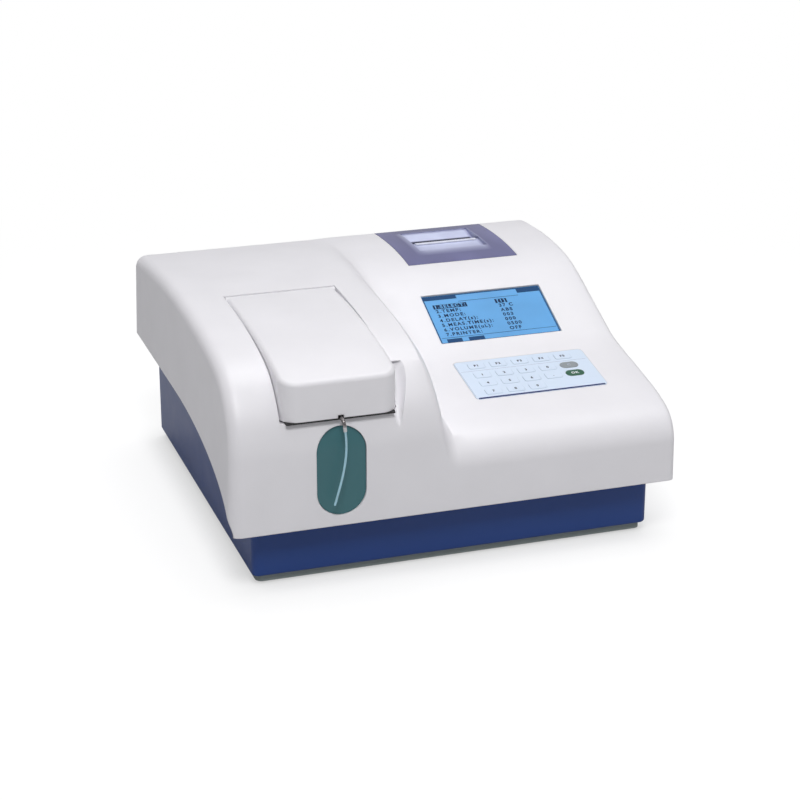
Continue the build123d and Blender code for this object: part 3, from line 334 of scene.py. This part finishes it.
def circuit(name, colour):
    """Solder mask with traces and pads."""
    finish = Finish(name, colour, 0.35)
    traces = finish.nodes.new("ShaderNodeTexBrick")
    traces.inputs["Scale"].default_value = 160
    traces.inputs["Mortar Size"].default_value = 0.03
    for key in ("Color1", "Color2"):
        traces.inputs[key].default_value = (*finish.colour, 1)
    copper = [min(1, channel * 2.2) for channel in finish.colour]
    traces.inputs["Mortar"].default_value = (*copper, 1)
    finish.links.new(finish.place, traces.inputs["Vector"])
    finish.links.new(traces.outputs["Color"], finish.shader.inputs["Base Color"])
    return finish.bumped(traces.outputs["Fac"], 0.2, 0.00005)


def make_finishes(colours):
    """Every finish on the instrument, by name."""
    made = {
        "cover": moulded("Cover_plastic", colours.cover, 0.38, 2200, ease=0.0012),
        # Near-black strip on the ledge under the lid: painted shade for the dark slit there.
        "seal": moulded("Ledge_painted_shade", (0.035, 0.034, 0.036), 0.9, 1400),
        "base": sprayed("Base_blue_paint", colours.base, 0.36, Specular_IOR_Level=0.35),
        "pan": sprayed("Pan_grey_paint", colours.pan, 0.45),
        "rubber": moulded("Foot_rubber", (0.022, 0.022, 0.024), 0.75, 1800),
        "steel": brushed("Turned_steel", (0.52, 0.53, 0.55), 0.32),
        "chrome": tipped_sleeve(),
        "black": moulded("Black_moulding", (0.018, 0.018, 0.020), 0.5, 1600),
        "teal": sprayed("Teal_plate", colours.plate, 0.4),
        "board": circuit("Circuit_board", (0.02, 0.13, 0.05)),
        "silicone": moulded("Silicone_line", (0.66, 0.63, 0.55), 0.35, 900, Subsurface_Weight=0.2),
        "quartz": moulded(
            "Clear_quartz", (0.86, 0.92, 0.94), 0.05, 300, Transmission_Weight=0.85, IOR=1.46
        ),
        "cast": cast("Cast_aluminium", (0.50, 0.51, 0.53)),
        "brass": brushed("Turned_brass", (0.70, 0.52, 0.22), 0.3),
        "fan": moulded("Fan_plastic", (0.012, 0.012, 0.014), 0.4, 1200),
        "paper": moulded("Printer_paper", (0.80, 0.80, 0.78), 0.9, 3500),
        "overlay": moulded("Keypad_film", colours.overlay, 0.34, 3000),
        "key": moulded("Key_film", colours.overlay, 0.34, 3000),
        "key_grey": moulded("Grey_key_film", (0.27, 0.30, 0.32), 0.34, 3000),
        "key_green": moulded(
            "Green_key_film", (0.030, 0.115, 0.065), 0.4, 3000, Specular_IOR_Level=0.3
        ),
        "ink": moulded("Dark_ink", (0.012, 0.018, 0.050), 0.5, 3000, Specular_IOR_Level=0.2),
        "pale_ink": moulded("Pale_ink", (0.80, 0.83, 0.85), 0.4, 3000),
        "rule_ink": moulded("Rule_ink", (0.42, 0.46, 0.58), 0.4, 3000),
        "stripe_ink": moulded(
            "Stripe_ink", (0.020, 0.032, 0.14), 0.4, 3000, Specular_IOR_Level=0.2
        ),
    }
    for key, name, colour in (
        ("screen_ink", "Screen_ink", colours.screen_ink),
        ("screen_dark", "Screen_block", (0.010, 0.060, 0.17)),
    ):
        made[key] = moulded(name, colour, 0.4, 3000, Specular_IOR_Level=0.1)
    made["screen"] = lit_screen(colours)
    made["tube"] = soft_tube(colours)
    made["bar"] = moulded("Tear_bar_plastic", (0.80, 0.82, 0.92), 0.35, 2500)
    made["window"] = violet_window(colours)
    return {name: finish.material for name, finish in made.items()}


def lit_screen(colours):
    """The screen's lit ground: fine cells over a slow drift of blue."""
    finish = Finish("Screen_glow", colours.screen, 0.22, Specular_IOR_Level=0.15)
    cells = finish.nodes.new("ShaderNodeTexChecker")
    cells.inputs["Scale"].default_value = 2000
    finish.links.new(finish.place, cells.inputs["Vector"])
    drift = finish.blended(
        finish.ranged(finish.noise(14), 0.0, 1.0),
        tuple(channel * 0.9 for channel in colours.screen),
        tuple(min(1, channel * 1.08) for channel in colours.screen),
    )
    share = finish.ranged(cells.outputs["Fac"], 0.0, 0.06, 0.0, 1.0)
    fine = finish.blended(share, drift, (0.05, 0.12, 0.3))
    finish.links.new(fine, finish.shader.inputs["Base Color"])
    finish.links.new(fine, finish.shader.inputs["Emission Color"])
    finish.shader.inputs["Emission Strength"].default_value = 0.12
    return finish


def soft_tube(colours):
    """Soft clear tubing with a bluish tint and a glossy skin."""
    finish = Finish(
        "Sample_tube_plastic", colours.tube, 0.22, Transmission_Weight=0.25, Coat_Weight=0.4
    )
    return finish.mottled(180, 0.06).varied_gloss(200, 0.04).grained(1500, 0.05, 0.00002)


def tipped_sleeve():
    """Drawn steel whose lower end is white."""
    white_top, steel_start = 0.1410, 0.1424
    finish = brushed("White_ended_sleeve", (0.30, 0.28, 0.28), 0.25)
    axes = finish.nodes.new("ShaderNodeSeparateXYZ")
    finish.links.new(finish.place, axes.inputs["Vector"])
    white_share = finish.ranged(axes.outputs["Z"], 1.0, 0.0, white_top, steel_start)
    steel = finish.shader.inputs["Base Color"].links[0].from_socket
    colour = finish.blended(white_share, steel, (0.62, 0.61, 0.62))
    finish.links.new(colour, finish.shader.inputs["Base Color"])
    finish.links.new(finish.worked("SUBTRACT", 1.0, white_share), finish.shader.inputs["Metallic"])
    return finish


def violet_window(colours):
    """The printer window's smoky violet plastic, with painted light: a paler patch over the recess,
    paler streaks of painted reflection and painted shade in the paper slot.
    """
    recess_low, recess_high = at(262, 284, 0), at(329, 350, 0)
    slot_low, slot_high = at(264, 317, 0), at(328, 333.6, 0)
    fade_end = at(0, 311, 0).y
    finish = Finish("Violet_window", colours.window, 0.2, Coat_Weight=0.5)
    axes = finish.nodes.new("ShaderNodeSeparateXYZ")
    finish.links.new(finish.place, axes.inputs["Vector"])

    def patch(low, high, soft, end_soft):
        """A factor of 1 between two places, with soft borders."""
        factor = None
        for axis, start, stop in (("X", low.x, high.x), ("Y", low.y, high.y)):
            rise = finish.ranged(axes.outputs[axis], 0.0, 1.0, start - soft, start + soft)
            fall = finish.ranged(axes.outputs[axis], 1.0, 0.0, stop - end_soft, stop + end_soft)
            both = finish.worked("MULTIPLY", rise, fall)
            factor = both if factor is None else finish.worked("MULTIPLY", factor, both)
        return factor

    # Painted light: a paler patch over the recess, darker towards its front.
    recess = patch(recess_low, recess_high, 6 * MM, 3 * MM)
    cloudy = finish.ranged(finish.noise(45), 0.8, 1.0)
    fade = finish.ranged(axes.outputs["Y"], 0.45, 1.0, recess_low.y, fade_end)
    recess = finish.worked("MULTIPLY", finish.worked("MULTIPLY", recess, cloudy), fade)
    # Paler streaks: painted reflections on the glossy window.
    reflection_streaks = finish.ranged(finish.noise(22, 2.0, (1, 0.35, 1)), 0.0, 1.0, 0.45, 0.75)
    reflection_tint = [channel * 1.35 for channel in colours.window]
    shell = finish.blended(reflection_streaks, colours.window, reflection_tint)
    colour = finish.blended(recess, shell, colours.recess)
    # Painted shade: a dark band on the ramp behind the paper slot.
    slot_shade = patch(slot_low, slot_high, MM, MM)
    colour = finish.blended(slot_shade, colour, (0.030, 0.032, 0.085))
    finish.links.new(colour, finish.shader.inputs["Base Color"])
    return finish.varied_gloss(70, 0.04).grained(900, 0.05, 0.00003)


# ---------------------------------------------------------------- settings
def colour_property(name, words, value):
    """A colour that shows in the sidebar."""
    return FloatVectorProperty(
        name=name, description=words, default=value, min=0, max=1, size=3, subtype="COLOR"
    )


class ANALYZER_PG_colours(bpy.types.PropertyGroup):
    """Colours of the visible finishes."""

    cover: colour_property("Cover", "Moulded cover and cell lid", (0.81, 0.80, 0.83))
    base: colour_property("Base", "Painted base box", (0.021, 0.060, 0.235))
    pan: colour_property("Pan", "Sheet pan under the base", (0.25, 0.29, 0.285))
    plate: colour_property("Aspirate plate", "Press plate behind the tube", (0.047, 0.156, 0.176))
    tube: colour_property("Sample tube", "Hanging sample tube", (0.46, 0.76, 0.88))
    screen: colour_property("Screen", "Lit ground of the screen", (0.100, 0.33, 0.65))
    screen_ink: colour_property("Screen text", "Dark screen segments", (0.006, 0.030, 0.085))
    overlay: colour_property("Keypad", "Film over the keypad", (0.66, 0.76, 0.90))
    window: colour_property("Printer window", "Smoky window at the slot", (0.150, 0.152, 0.305))
    # Painted light: this paler colour over the recess stands in for light there.
    recess: colour_property("Printer recess", "Paler recess by the paper slot", (0.70, 0.745, 0.98))


def length_property(name, words, value):
    """A length that shows in the sidebar."""
    return FloatProperty(
        name=name, description=words, default=value, min=0, unit="LENGTH", precision=5
    )


class ANALYZER_PG_sizes(bpy.types.PropertyGroup):
    """Sizes of the details that a user would change."""

    tube_diameter: length_property("Tube diameter", "Outside of the sample tube", 0.002)
    tube_length: length_property("Tube length", "Hanging length of the sample tube", 0.064)
    label_height: length_property("Key label", "Size of a key's figure", 0.0043)
    row_height: length_property("Screen row", "Size of a row of screen text", 0.0056)
    tooth_pitch: length_property("Tear bar tooth", "Pitch of the tear bar's teeth", 0.0015)


def colours():
    """The scene's colour settings."""
    return bpy.context.scene.analyzer_colours


def sizes():
    """The scene's size settings."""
    return bpy.context.scene.analyzer_sizes


finishes = {}


# ---------------------------------------------------------------- stage
class ANALYZER_OT_stage(bpy.types.Operator):
    """Camera, soft lamps, pale floor and white surroundings."""

    bl_idname = "analyzer.stage"
    bl_label = "Set the stage"

    camera_place = (-0.5502, -1.6559, 0.7520)
    camera_yaw, camera_fall, camera_roll = 18.568, 20.972, 0.096
    camera_lens = 92.572
    aimed_at = (0, 0, 0.1)
    # Reach of the painted contact shadow on the floor.
    contact_distance = 0.03
    white_from, white_to = 0.32, 1.0

    def execute(self, context):
        self.camera()
        self.floor()
        self.lamps()
        self.surroundings()
        context.scene.view_settings.view_transform = "Standard"
        return {"FINISHED"}

    def camera(self):
        """A long lens before the left front corner, a little above."""
        deselect()
        bpy.ops.object.camera_add(location=self.camera_place)
        camera = bpy.context.object
        camera.name = "Bench_camera"
        yaw, roll = math.radians(self.camera_yaw), math.radians(self.camera_roll)
        fall = math.radians(self.camera_fall)
        turn = Matrix.Rotation(-yaw, 4, "Z") @ Matrix.Rotation(math.pi / 2 - fall, 4, "X")
        turn = turn @ Matrix.Rotation(roll, 4, "Z")
        camera.matrix_world = Matrix.Translation(camera.location) @ turn
        camera.data.sensor_width = 36
        camera.data.lens = self.camera_lens
        camera.data.clip_end = 20
        bpy.context.scene.camera = camera

    def floor(self):
        """The bench under the instrument."""
        deselect()
        bpy.ops.mesh.primitive_plane_add(size=12, location=(0, 0, 0))
        floor = bpy.context.object
        floor.name = "Floor"
        floor.data.materials.append(self.white_ground())

    def seen(self, nodes, links):
        """A factor of 1 for what the camera sees, straight or through something clear."""
        rays = nodes.new("ShaderNodeLightPath")
        either = nodes.new("ShaderNodeMath")
        either.operation = "MAXIMUM"
        links.new(rays.outputs["Is Camera Ray"], either.inputs[0])
        links.new(rays.outputs["Is Transmission Ray"], either.inputs[1])
        return either.outputs["Value"]

    def white_ground(self):
        """A pale floor that keeps the shadow, darkens near the instrument with a painted contact
        shadow, and fades to white away from it.
        """
        material = bpy.data.materials.new("Pale_floor")
        material.use_nodes = True
        nodes, links = material.node_tree.nodes, material.node_tree.links
        diffuse = nodes["Principled BSDF"]
        diffuse.inputs["Base Color"].default_value = (0.62, 0.62, 0.62, 1)
        diffuse.inputs["Roughness"].default_value = 0.7
        diffuse.inputs["Specular IOR Level"].default_value = 0.1
        grain = nodes.new("ShaderNodeTexNoise")
        grain.inputs["Scale"].default_value = 300
        bump = nodes.new("ShaderNodeBump")
        bump.inputs["Strength"].default_value = 0.02
        links.new(grain.outputs["Fac"], bump.inputs["Height"])
        links.new(bump.outputs["Normal"], diffuse.inputs["Normal"])
        glow = nodes.new("ShaderNodeEmission")
        # Ambient occlusion dims the floor's glow near the instrument: painted contact shadow.
        painted_contact_shade = nodes.new("ShaderNodeAmbientOcclusion")
        painted_contact_shade.samples = 8
        painted_contact_shade.inputs["Distance"].default_value = self.contact_distance
        shade = nodes.new("ShaderNodeMapRange")
        spans = {"From Min": 0.35, "From Max": 0.95, "To Min": 1.1, "To Max": 1.5}
        for key, number in spans.items():
            shade.inputs[key].default_value = number
        links.new(painted_contact_shade.outputs["AO"], shade.inputs["Value"])
        links.new(shade.outputs["Result"], glow.inputs["Strength"])
        seen = self.seen(nodes, links)
        share = nodes.new("ShaderNodeMath")
        share.operation = "MULTIPLY"
        share.inputs[1].default_value = 0.5
        links.new(seen, share.inputs[0])
        mix = nodes.new("ShaderNodeMixShader")
        links.new(share.outputs["Value"], mix.inputs["Fac"])
        links.new(diffuse.outputs["BSDF"], mix.inputs[1])
        links.new(glow.outputs["Emission"], mix.inputs[2])
        far = nodes.new("ShaderNodeVectorMath")
        far.operation = "LENGTH"
        links.new(nodes.new("ShaderNodeTexCoord").outputs["Object"], far.inputs[0])
        edge = nodes.new("ShaderNodeMapRange")
        edge.interpolation_type = "SMOOTHSTEP"
        edge.inputs["From Min"].default_value = self.white_from
        edge.inputs["From Max"].default_value = self.white_to
        links.new(far.outputs["Value"], edge.inputs["Value"])
        white = nodes.new("ShaderNodeEmission")
        fade = nodes.new("ShaderNodeMath")
        fade.operation = "MULTIPLY"
        links.new(edge.outputs["Result"], fade.inputs[0])
        links.new(seen, fade.inputs[1])
        over = nodes.new("ShaderNodeMixShader")
        links.new(fade.outputs["Value"], over.inputs["Fac"])
        links.new(mix.outputs["Shader"], over.inputs[1])
        links.new(white.outputs["Emission"], over.inputs[2])
        links.new(over.outputs["Shader"], nodes["Material Output"].inputs["Surface"])
        return material

    def lamps(self):
        """A key over the left shoulder, a wide one above and a weak fill."""
        for name, place, size, power in (
            ("Key_lamp", (-0.50, -1.62, 2.45), 0.9, 35),
            ("Top_lamp", (0.25, 0.55, 2.4), 2.0, 27),
            ("Fill_lamp", (1.9, -1.7, 1.1), 1.8, 2),
        ):
            deselect()
            bpy.ops.object.light_add(type="AREA", location=place)
            lamp = bpy.context.object
            lamp.name = name
            lamp.data.shape = "DISK"
            lamp.data.size = size
            lamp.data.energy = power
            aim = Vector(self.aimed_at) - Vector(place)
            lamp.rotation_mode = "QUATERNION"
            lamp.rotation_quaternion = aim.to_track_quat("-Z", "Y")

    def surroundings(self):
        """Dim even light, with white behind everything the camera sees."""
        world = bpy.context.scene.world or bpy.data.worlds.new("Studio")
        bpy.context.scene.world = world
        world.use_nodes = True
        nodes, links = world.node_tree.nodes, world.node_tree.links
        nodes.clear()
        output = nodes.new("ShaderNodeOutputWorld")
        light = nodes.new("ShaderNodeBackground")
        light.inputs["Color"].default_value = (0.97, 0.97, 1.0, 1)
        light.inputs["Strength"].default_value = 0.30
        backdrop = nodes.new("ShaderNodeBackground")
        backdrop.inputs["Color"].default_value = (1, 1, 1, 1)
        backdrop.inputs["Strength"].default_value = 1.0
        mix = nodes.new("ShaderNodeMixShader")
        links.new(self.seen(nodes, links), mix.inputs["Fac"])
        links.new(light.outputs["Background"], mix.inputs[1])
        links.new(backdrop.outputs["Background"], mix.inputs[2])
        links.new(mix.outputs["Shader"], output.inputs["Surface"])


# ---------------------------------------------------------------- sampling
class ANALYZER_OT_sampling(bpy.types.Operator):
    """The soft sample tube that hangs from the sleeve."""

    bl_idname = "analyzer.sampling"
    bl_label = "Hang the sample tube"

    route = (
        (96.2, -6.5, 137.5),
        (97.16, -6.5, 128.0),
        (96.4, -7.2, 115.5),
        (94.0, -7.58, 101.5),
        (90.4, -7.58, 88.0),
        (86.6, -7.2, 74.5),
    )

    def execute(self, context):
        route = [at(*point) for point in self.route]
        curve = bpy.data.curves.new("Sample_tube_line", "CURVE")
        curve.dimensions = "3D"
        spline = curve.splines.new("NURBS")
        spline.points.add(len(route) - 1)
        for point, place in zip(spline.points, route):
            point.co = (*place, 1)
        spline.order_u = 3
        spline.use_endpoint_u = True
        spline.resolution_u = 12
        curve.bevel_depth = sizes().tube_diameter / 2
        curve.bevel_resolution = 5
        curve.use_fill_caps = True
        tube = bpy.data.objects.new("Hanging_sample_tube", curve)
        bpy.context.scene.collection.objects.link(tube)
        finished(tube, finishes["tube"], "instrument", ["sample_tube"])
        return {"FINISHED"}


# ---------------------------------------------------------------- mouldings
class ANALYZER_OT_mouldings(bpy.types.Operator):
    """The moulded cover, cell lid, base and press plate, welded and smoothed."""

    bl_idname = "analyzer.mouldings"
    bl_label = "Dress the mouldings"

    def execute(self, context):
        for node, name, finish, slot_name, angle in (
            ("top_cover", "Arched_cover", "cover", "cover_plastic", 32),
            ("cell_lid", "Flow_cell_lid", "cover", "cover_plastic", 32),
            ("printer_cover", "Printer_window", "window", "printer_plastic", 30),
            ("base_tub", "Base_box", "base", "base_plastic", 30),
            ("aspirate_plate", "Press_plate", "teal", "teal_plastic", 30),
        ):
            piece = merged_copy(node, name, angle)
            body = frame["nodes"][node]["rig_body"]
            finished(piece, finishes[finish], body, [node])
        return {"FINISHED"}


# ---------------------------------------------------------------- painted shade under the lid
class ANALYZER_OT_ledge_shade(bpy.types.Operator):
    """A dark strip of painted shade on the well's front ledge, under the lid's front edge."""

    bl_idname = "analyzer.seal"
    bl_label = "Lay the lid's painted shade strip"

    middle = (95.5, 5.9, 144.93)
    width, length, thickness, corner = 92.0, 8.6, 1.45, 1.0

    def execute(self, context):
        ledge = Matrix.Translation(at(*self.middle))
        # The strip is painted shade, a dark sheet where the gap under the lid is in shadow.
        piece = rounded_plate(
            "Lid_painted_shade_strip", self.width, self.length, self.thickness, self.corner, ledge
        )
        finished(piece, finishes["seal"], "instrument")
        return {"FINISHED"}


# ---------------------------------------------------------------- screen
class ANALYZER_OT_screen(bpy.types.Operator):
    """The lit screen with its frame, blocks, rules and rows of text."""

    bl_idname = "analyzer.screen"
    bl_label = "Light the screen"

    rows = (
        ("1.SELECT:", "[1]"),
        ("2.TEMP:", "37 C"),
        ("3.MODE:", "ABS"),
        ("4.DELAY(s):", "003"),
        ("5.MEAS.TIME(s):", "000"),
        ("6.VOLUME(uL):", "0500"),
        ("7.PRINTER:", "OFF"),
    )
    first_row = 0.232
    row_pitch = 0.0985
    bar_half = 0.044
    rule_height = 0.008
    label_start, value_start = 0.068, 0.60
    ground_thickness, ground_corner = 0.05, 0.6
    overlap = 0.6
    block_lift, text_lift = 0.06, 0.10

    def place(self, across, down):
        """Millimetres on the screen from shares across and down it."""
        return (across - 0.5) * SCREEN_WIDTH, (0.5 - down) * SCREEN_LENGTH

    def block(self, name, left, right, top, bottom, finish="screen_dark"):
        """A dark block or rule, from shares across and down the screen."""
        u0, v0 = self.place(left, top)
        u1, v1 = self.place(right, bottom)
        middle = ((u0 + u1) / 2, (v0 + v1) / 2)
        piece = rounded_plate(
            name, u1 - u0, v0 - v1, INK_THICKNESS, 0, SCREEN, *middle, SCREEN_SINK + self.block_lift
        )
        finished(piece, finishes[finish], "instrument")

    def words(self, name, words, across, down, finish):
        """One word or figure of a row, from its left end."""
        piece = lettering(
            name,
            words,
            sizes().row_height / MM,
            SCREEN,
            *self.place(across, down),
            SCREEN_SINK + self.text_lift,
            spacing=1.3,
            weight=0.19,
            align="LEFT",
        )
        finished(piece, finishes[finish], "instrument")

    def execute(self, context):
        glass = rounded_plate(
            "Screen_ground",
            SCREEN_WIDTH + self.overlap,
            SCREEN_LENGTH + self.overlap,
            self.ground_thickness,
            self.ground_corner,
            SCREEN,
            lift=SCREEN_SINK,
        )
        finished(glass, finishes["screen"], "instrument")
        for name, left, right, top, bottom in (
            ("Screen_rim_left", 0.0, 0.009, 0.0, 1.0),
            ("Screen_rim_right", 0.991, 1.0, 0.0, 1.0),
            ("Screen_rim_top", 0.009, 0.991, 0.0, 0.018),
            ("Screen_rim_bottom", 0.009, 0.991, 0.988, 1.0),
            ("Screen_header_left", 0.009, 0.285, 0.018, 0.085),
            ("Screen_header_right", 0.80, 0.991, 0.018, 0.105),
            ("Screen_softkey_left", 0.055, 0.18, 0.915, 0.988),
            ("Screen_softkey_right", 0.235, 0.365, 0.915, 0.988),
        ):
            self.block(name, left, right, top, bottom)
        for name, left, right, top in (
            ("Screen_rule_top", 0.285, 0.80, 0.148),
            ("Screen_rule_bottom", 0.02, 0.985, 0.885),
        ):
            self.block(name, left, right, top, top + self.rule_height)
        for order, (label, value) in enumerate(self.rows):
            down = self.first_row + self.row_pitch * order
            top, bottom = down - self.bar_half, down + self.bar_half
            reverse = order == 0
            if reverse:
                self.block("Screen_bar_label", 0.060, 0.345, top, bottom, "screen_ink")
                self.block("Screen_bar_value", 0.585, 0.685, top, bottom, "screen_ink")
            finish = "screen" if reverse else "screen_ink"
            self.words(f"Screen_label_{order + 1}", label, self.label_start, down, finish)
            self.words(f"Screen_value_{order + 1}", value, self.value_start, down, finish)
        return {"FINISHED"}


# ---------------------------------------------------------------- keypad
class ANALYZER_OT_keypad(bpy.types.Operator):
    """Figures on the keys, the rule and the stripe on the keypad's film."""

    bl_idname = "analyzer.keypad"
    bl_label = "Print the keypad"

    labels = {"key_point": ".", "key_back": "C", "key_enter": "OK"}
    inks = {"key_enter": "pale_ink", "key_back": "rule_ink"}
    label_lift = 0.015
    film_lift = 0.10

    def execute(self, context):
        for name in KEY_NAMES:
            words = self.labels.get(name, name.removeprefix("key_").upper())
            top = self.top(name)
            piece = lettering(
                f"Label_{name}",
                words,
                sizes().label_height / MM,
                KEYPAD,
                top.x / MM,
                top.y / MM,
                top.z / MM + self.label_lift,
                spacing=1.2,
                weight=0.17,
            )
            finished(piece, finishes[self.inks.get(name, "ink")], name)
        for name, width, length, corner, u, v, ink in (
            ("Keypad_rule", 118.0, 0.4, 0, 0.0, 15.0, "rule_ink"),
            ("Keypad_left_line", 0.4, 56.0, 0, -60.3, 1.5, "rule_ink"),
            ("Keypad_stripe", 118.0, 2.3, 0.5, 0.0, -30.4, "stripe_ink"),
        ):
            piece = rounded_plate(
                name, width, length, INK_THICKNESS, corner, KEYPAD, u, v, self.film_lift
            )
            finished(piece, finishes[ink], "instrument")
        return {"FINISHED"}

    def top(self, name):
        """Middle of a key's top, on the keypad's own frame."""
        flat = KEYPAD.inverted()
        places = [flat @ vertex.co for vertex in frame["nodes"][name].data.vertices]
        height = max(place.z for place in places)
        rim = [place for place in places if place.z > height - 0.05 * MM]
        spans = [[place[axis] for place in rim] for axis in range(3)]
        return Vector([(min(span) + max(span)) / 2 for span in spans])


# ---------------------------------------------------------------- printer
class ANALYZER_OT_printer(bpy.types.Operator):
    """The toothed tear bar at the paper slot."""

    bl_idname = "analyzer.printer"
    bl_label = "Fit the tear bar"

    left, right = 265.5, 326.5
    front, rear = 311.8, 316.0
    height = 187.0
    thickness = 0.9
    tooth_depth = 0.7

    def execute(self, context):
        deselect()
        middle = (self.front + self.rear) / 2
        start, end = at(self.left, middle, self.height), at(self.right, middle, self.height)
        teeth = int((end.x - start.x) / sizes().tooth_pitch)
        bpy.ops.mesh.primitive_grid_add(x_subdivisions=2 * teeth, y_subdivisions=1, size=1)
        bar = bpy.context.object
        bar.name = "Tear_bar"
        bar.scale = (end.x - start.x, (self.rear - self.front) * MM, 1)
        bpy.ops.object.transform_apply(location=True, rotation=True, scale=True)
        for vertex in bar.data.vertices:
            column = round((vertex.co.x / (end.x - start.x) + 0.5) * 2 * teeth)
            if vertex.co.y > 0 and column % 2:
                vertex.co.y -= self.tooth_depth * MM
        bar.location = (start + end) / 2
        apply_modifier(bar, "SOLIDIFY", thickness=self.thickness * MM, offset=0)
        settle(bar, smooth=20)
        finished(bar, finishes["bar"], "printer_cover")
        return {"FINISHED"}


# ---------------------------------------------------------------- rear panel
class ANALYZER_OT_panel_screws(bpy.types.Operator):
    """Cross-head screws in the corners of the rear panel."""

    bl_idname = "analyzer.panel_screws"
    bl_label = "Screw on the rear panel"

    places = (
        ("low_left", 76.0, 28.5),
        ("low_right", 324.0, 28.5),
        ("high_left", 76.0, 93.5),
        ("high_right", 324.0, 93.5),
    )
    panel_face = 368.5
    radius, height, rounding = 2.6, 1.7, 0.5
    sunk = 0.1
    cross_length, cross_width = 3.2, 0.7
    cross_start, cross_depth = 0.7, 1.6

    def head(self):
        """One screw head at the origin, its top towards the rear."""
        deselect()
        bpy.ops.mesh.primitive_cylinder_add(
            vertices=32,
            radius=self.radius * MM,
            depth=self.height * MM,
            location=(0, (self.height / 2 - self.sunk) * MM, 0),
            rotation=(math.pi / 2, 0, 0),
        )
        head = bpy.context.object
        bpy.ops.object.transform_apply(location=True, rotation=True, scale=True)
        apply_modifier(
            head, "BEVEL", width=self.rounding * MM, segments=3, limit_method="ANGLE"
        )
        across = (self.cross_length, self.cross_width)
        for length, width in (across, across[::-1]):
            deselect()
            middle = self.cross_start + self.cross_depth / 2
            bpy.ops.mesh.primitive_cube_add(size=1, location=(0, middle * MM, 0))
            cutter = bpy.context.object
            cutter.scale = (length * MM, self.cross_depth * MM, width * MM)
            bpy.ops.object.transform_apply(location=True, rotation=True, scale=True)
            apply_modifier(head, "BOOLEAN", object=cutter, operation="DIFFERENCE", solver="EXACT")
            bpy.data.objects.remove(cutter)
        return head

    def execute(self, context):
        head = self.head()
        for name, x, z in self.places:
            screw = bpy.data.objects.new(f"Panel_screw_{name}", head.data.copy())
            context.scene.collection.objects.link(screw)
            screw.data.transform(Matrix.Translation(at(x, self.panel_face, z)))
            settle(screw)
            finished(screw, finishes["steel"], "instrument")
        bpy.data.objects.remove(head)
        return {"FINISHED"}


# ---------------------------------------------------------------- carried-over pieces
class ANALYZER_OT_hardware(bpy.types.Operator):
    """Finishes for the pieces whose CAD shape stays."""

    bl_idname = "analyzer.hardware"
    bl_label = "Finish the hardware"

    finish_of = {
        "base_pan": "pan",
        "rubber_feet": "rubber",
        "cover_screws": "steel",
        "hinge_pins": "steel",
        "chamber_liner": "black",
        "plate_guide": "black",
        "plate_springs": "steel",
        "screen_module": "black",
        "keypad_overlay": "overlay",
        "keypad_board": "board",
        "printer_bucket": "black",
        "printer_mechanism": "black",
        "platen_roller": "rubber",
        "paper_roll": "paper",
        "sample_sleeve": "chrome",
        "fluid_lines": "silicone",
        "cell_block": "cast",
        "flow_cell": "quartz",
        "detector_board": "board",
        "optics_bench": "cast",
        "filter_wheel": "cast",
        "filter_motor": "black",
        "lamp_housing": "cast",
        "halogen_lamp": "quartz",
        "pump_head": "black",
        "pump_rotor": "steel",
        "pump_motor": "steel",
        "power_supply": "steel",
        "main_board": "board",
        "rear_panel": "pan",
        "mains_inlet": "black",
        "power_rocker": "black",
        "fan_frame": "fan",
        "fan_rotor": "fan",
        "waste_fitting": "brass",
    }

    def execute(self, context):
        keys = {name: KEY_FINISHES.get(name, "key") for name in KEY_NAMES}
        for node, finish in {**self.finish_of, **keys}.items():
            piece = frame["nodes"][node]
            for holder in piece.material_slots:
                holder.link = "DATA"
                holder.material = finishes[finish]
            if not piece.material_slots:
                piece.data.materials.append(finishes[finish])
        return {"FINISHED"}


# ---------------------------------------------------------------- panel
OPERATORS = (
    ANALYZER_OT_stage,
    ANALYZER_OT_sampling,
    ANALYZER_OT_mouldings,
    ANALYZER_OT_ledge_shade,
    ANALYZER_OT_screen,
    ANALYZER_OT_keypad,
    ANALYZER_OT_printer,
    ANALYZER_OT_panel_screws,
    ANALYZER_OT_hardware,
)


class ANALYZER_PT_panel(bpy.types.Panel):
    """Sizes, colours and steps in the sidebar."""

    bl_label = "Chemistry analyzer"
    bl_space_type = "VIEW_3D"
    bl_region_type = "UI"
    bl_category = "Analyzer"

    def draw(self, context):
        for group in (context.scene.analyzer_colours, context.scene.analyzer_sizes):
            box = self.layout.box()
            for name in group.__annotations__:
                box.prop(group, name)
        for operator in OPERATORS:
            self.layout.operator(operator.bl_idname)


CLASSES = (ANALYZER_PG_colours, ANALYZER_PG_sizes, *OPERATORS, ANALYZER_PT_panel)


def register():
    for item in CLASSES:
        bpy.utils.register_class(item)
    bpy.types.Scene.analyzer_colours = PointerProperty(type=ANALYZER_PG_colours)
    bpy.types.Scene.analyzer_sizes = PointerProperty(type=ANALYZER_PG_sizes)


def unregister():
    del bpy.types.Scene.analyzer_colours
    del bpy.types.Scene.analyzer_sizes
    for item in reversed(CLASSES):
        bpy.utils.unregister_class(item)


def main():
    register()
    finishes.update(make_finishes(colours()))
    bpy.ops.analyzer.stage()
    bpy.ops.analyzer.sampling()
    bpy.ops.analyzer.mouldings()
    bpy.ops.analyzer.seal()
    bpy.ops.analyzer.screen()
    bpy.ops.analyzer.keypad()
    bpy.ops.analyzer.printer()
    bpy.ops.analyzer.panel_screws()
    bpy.ops.analyzer.hardware()


if __name__ == "__main__":
    main()
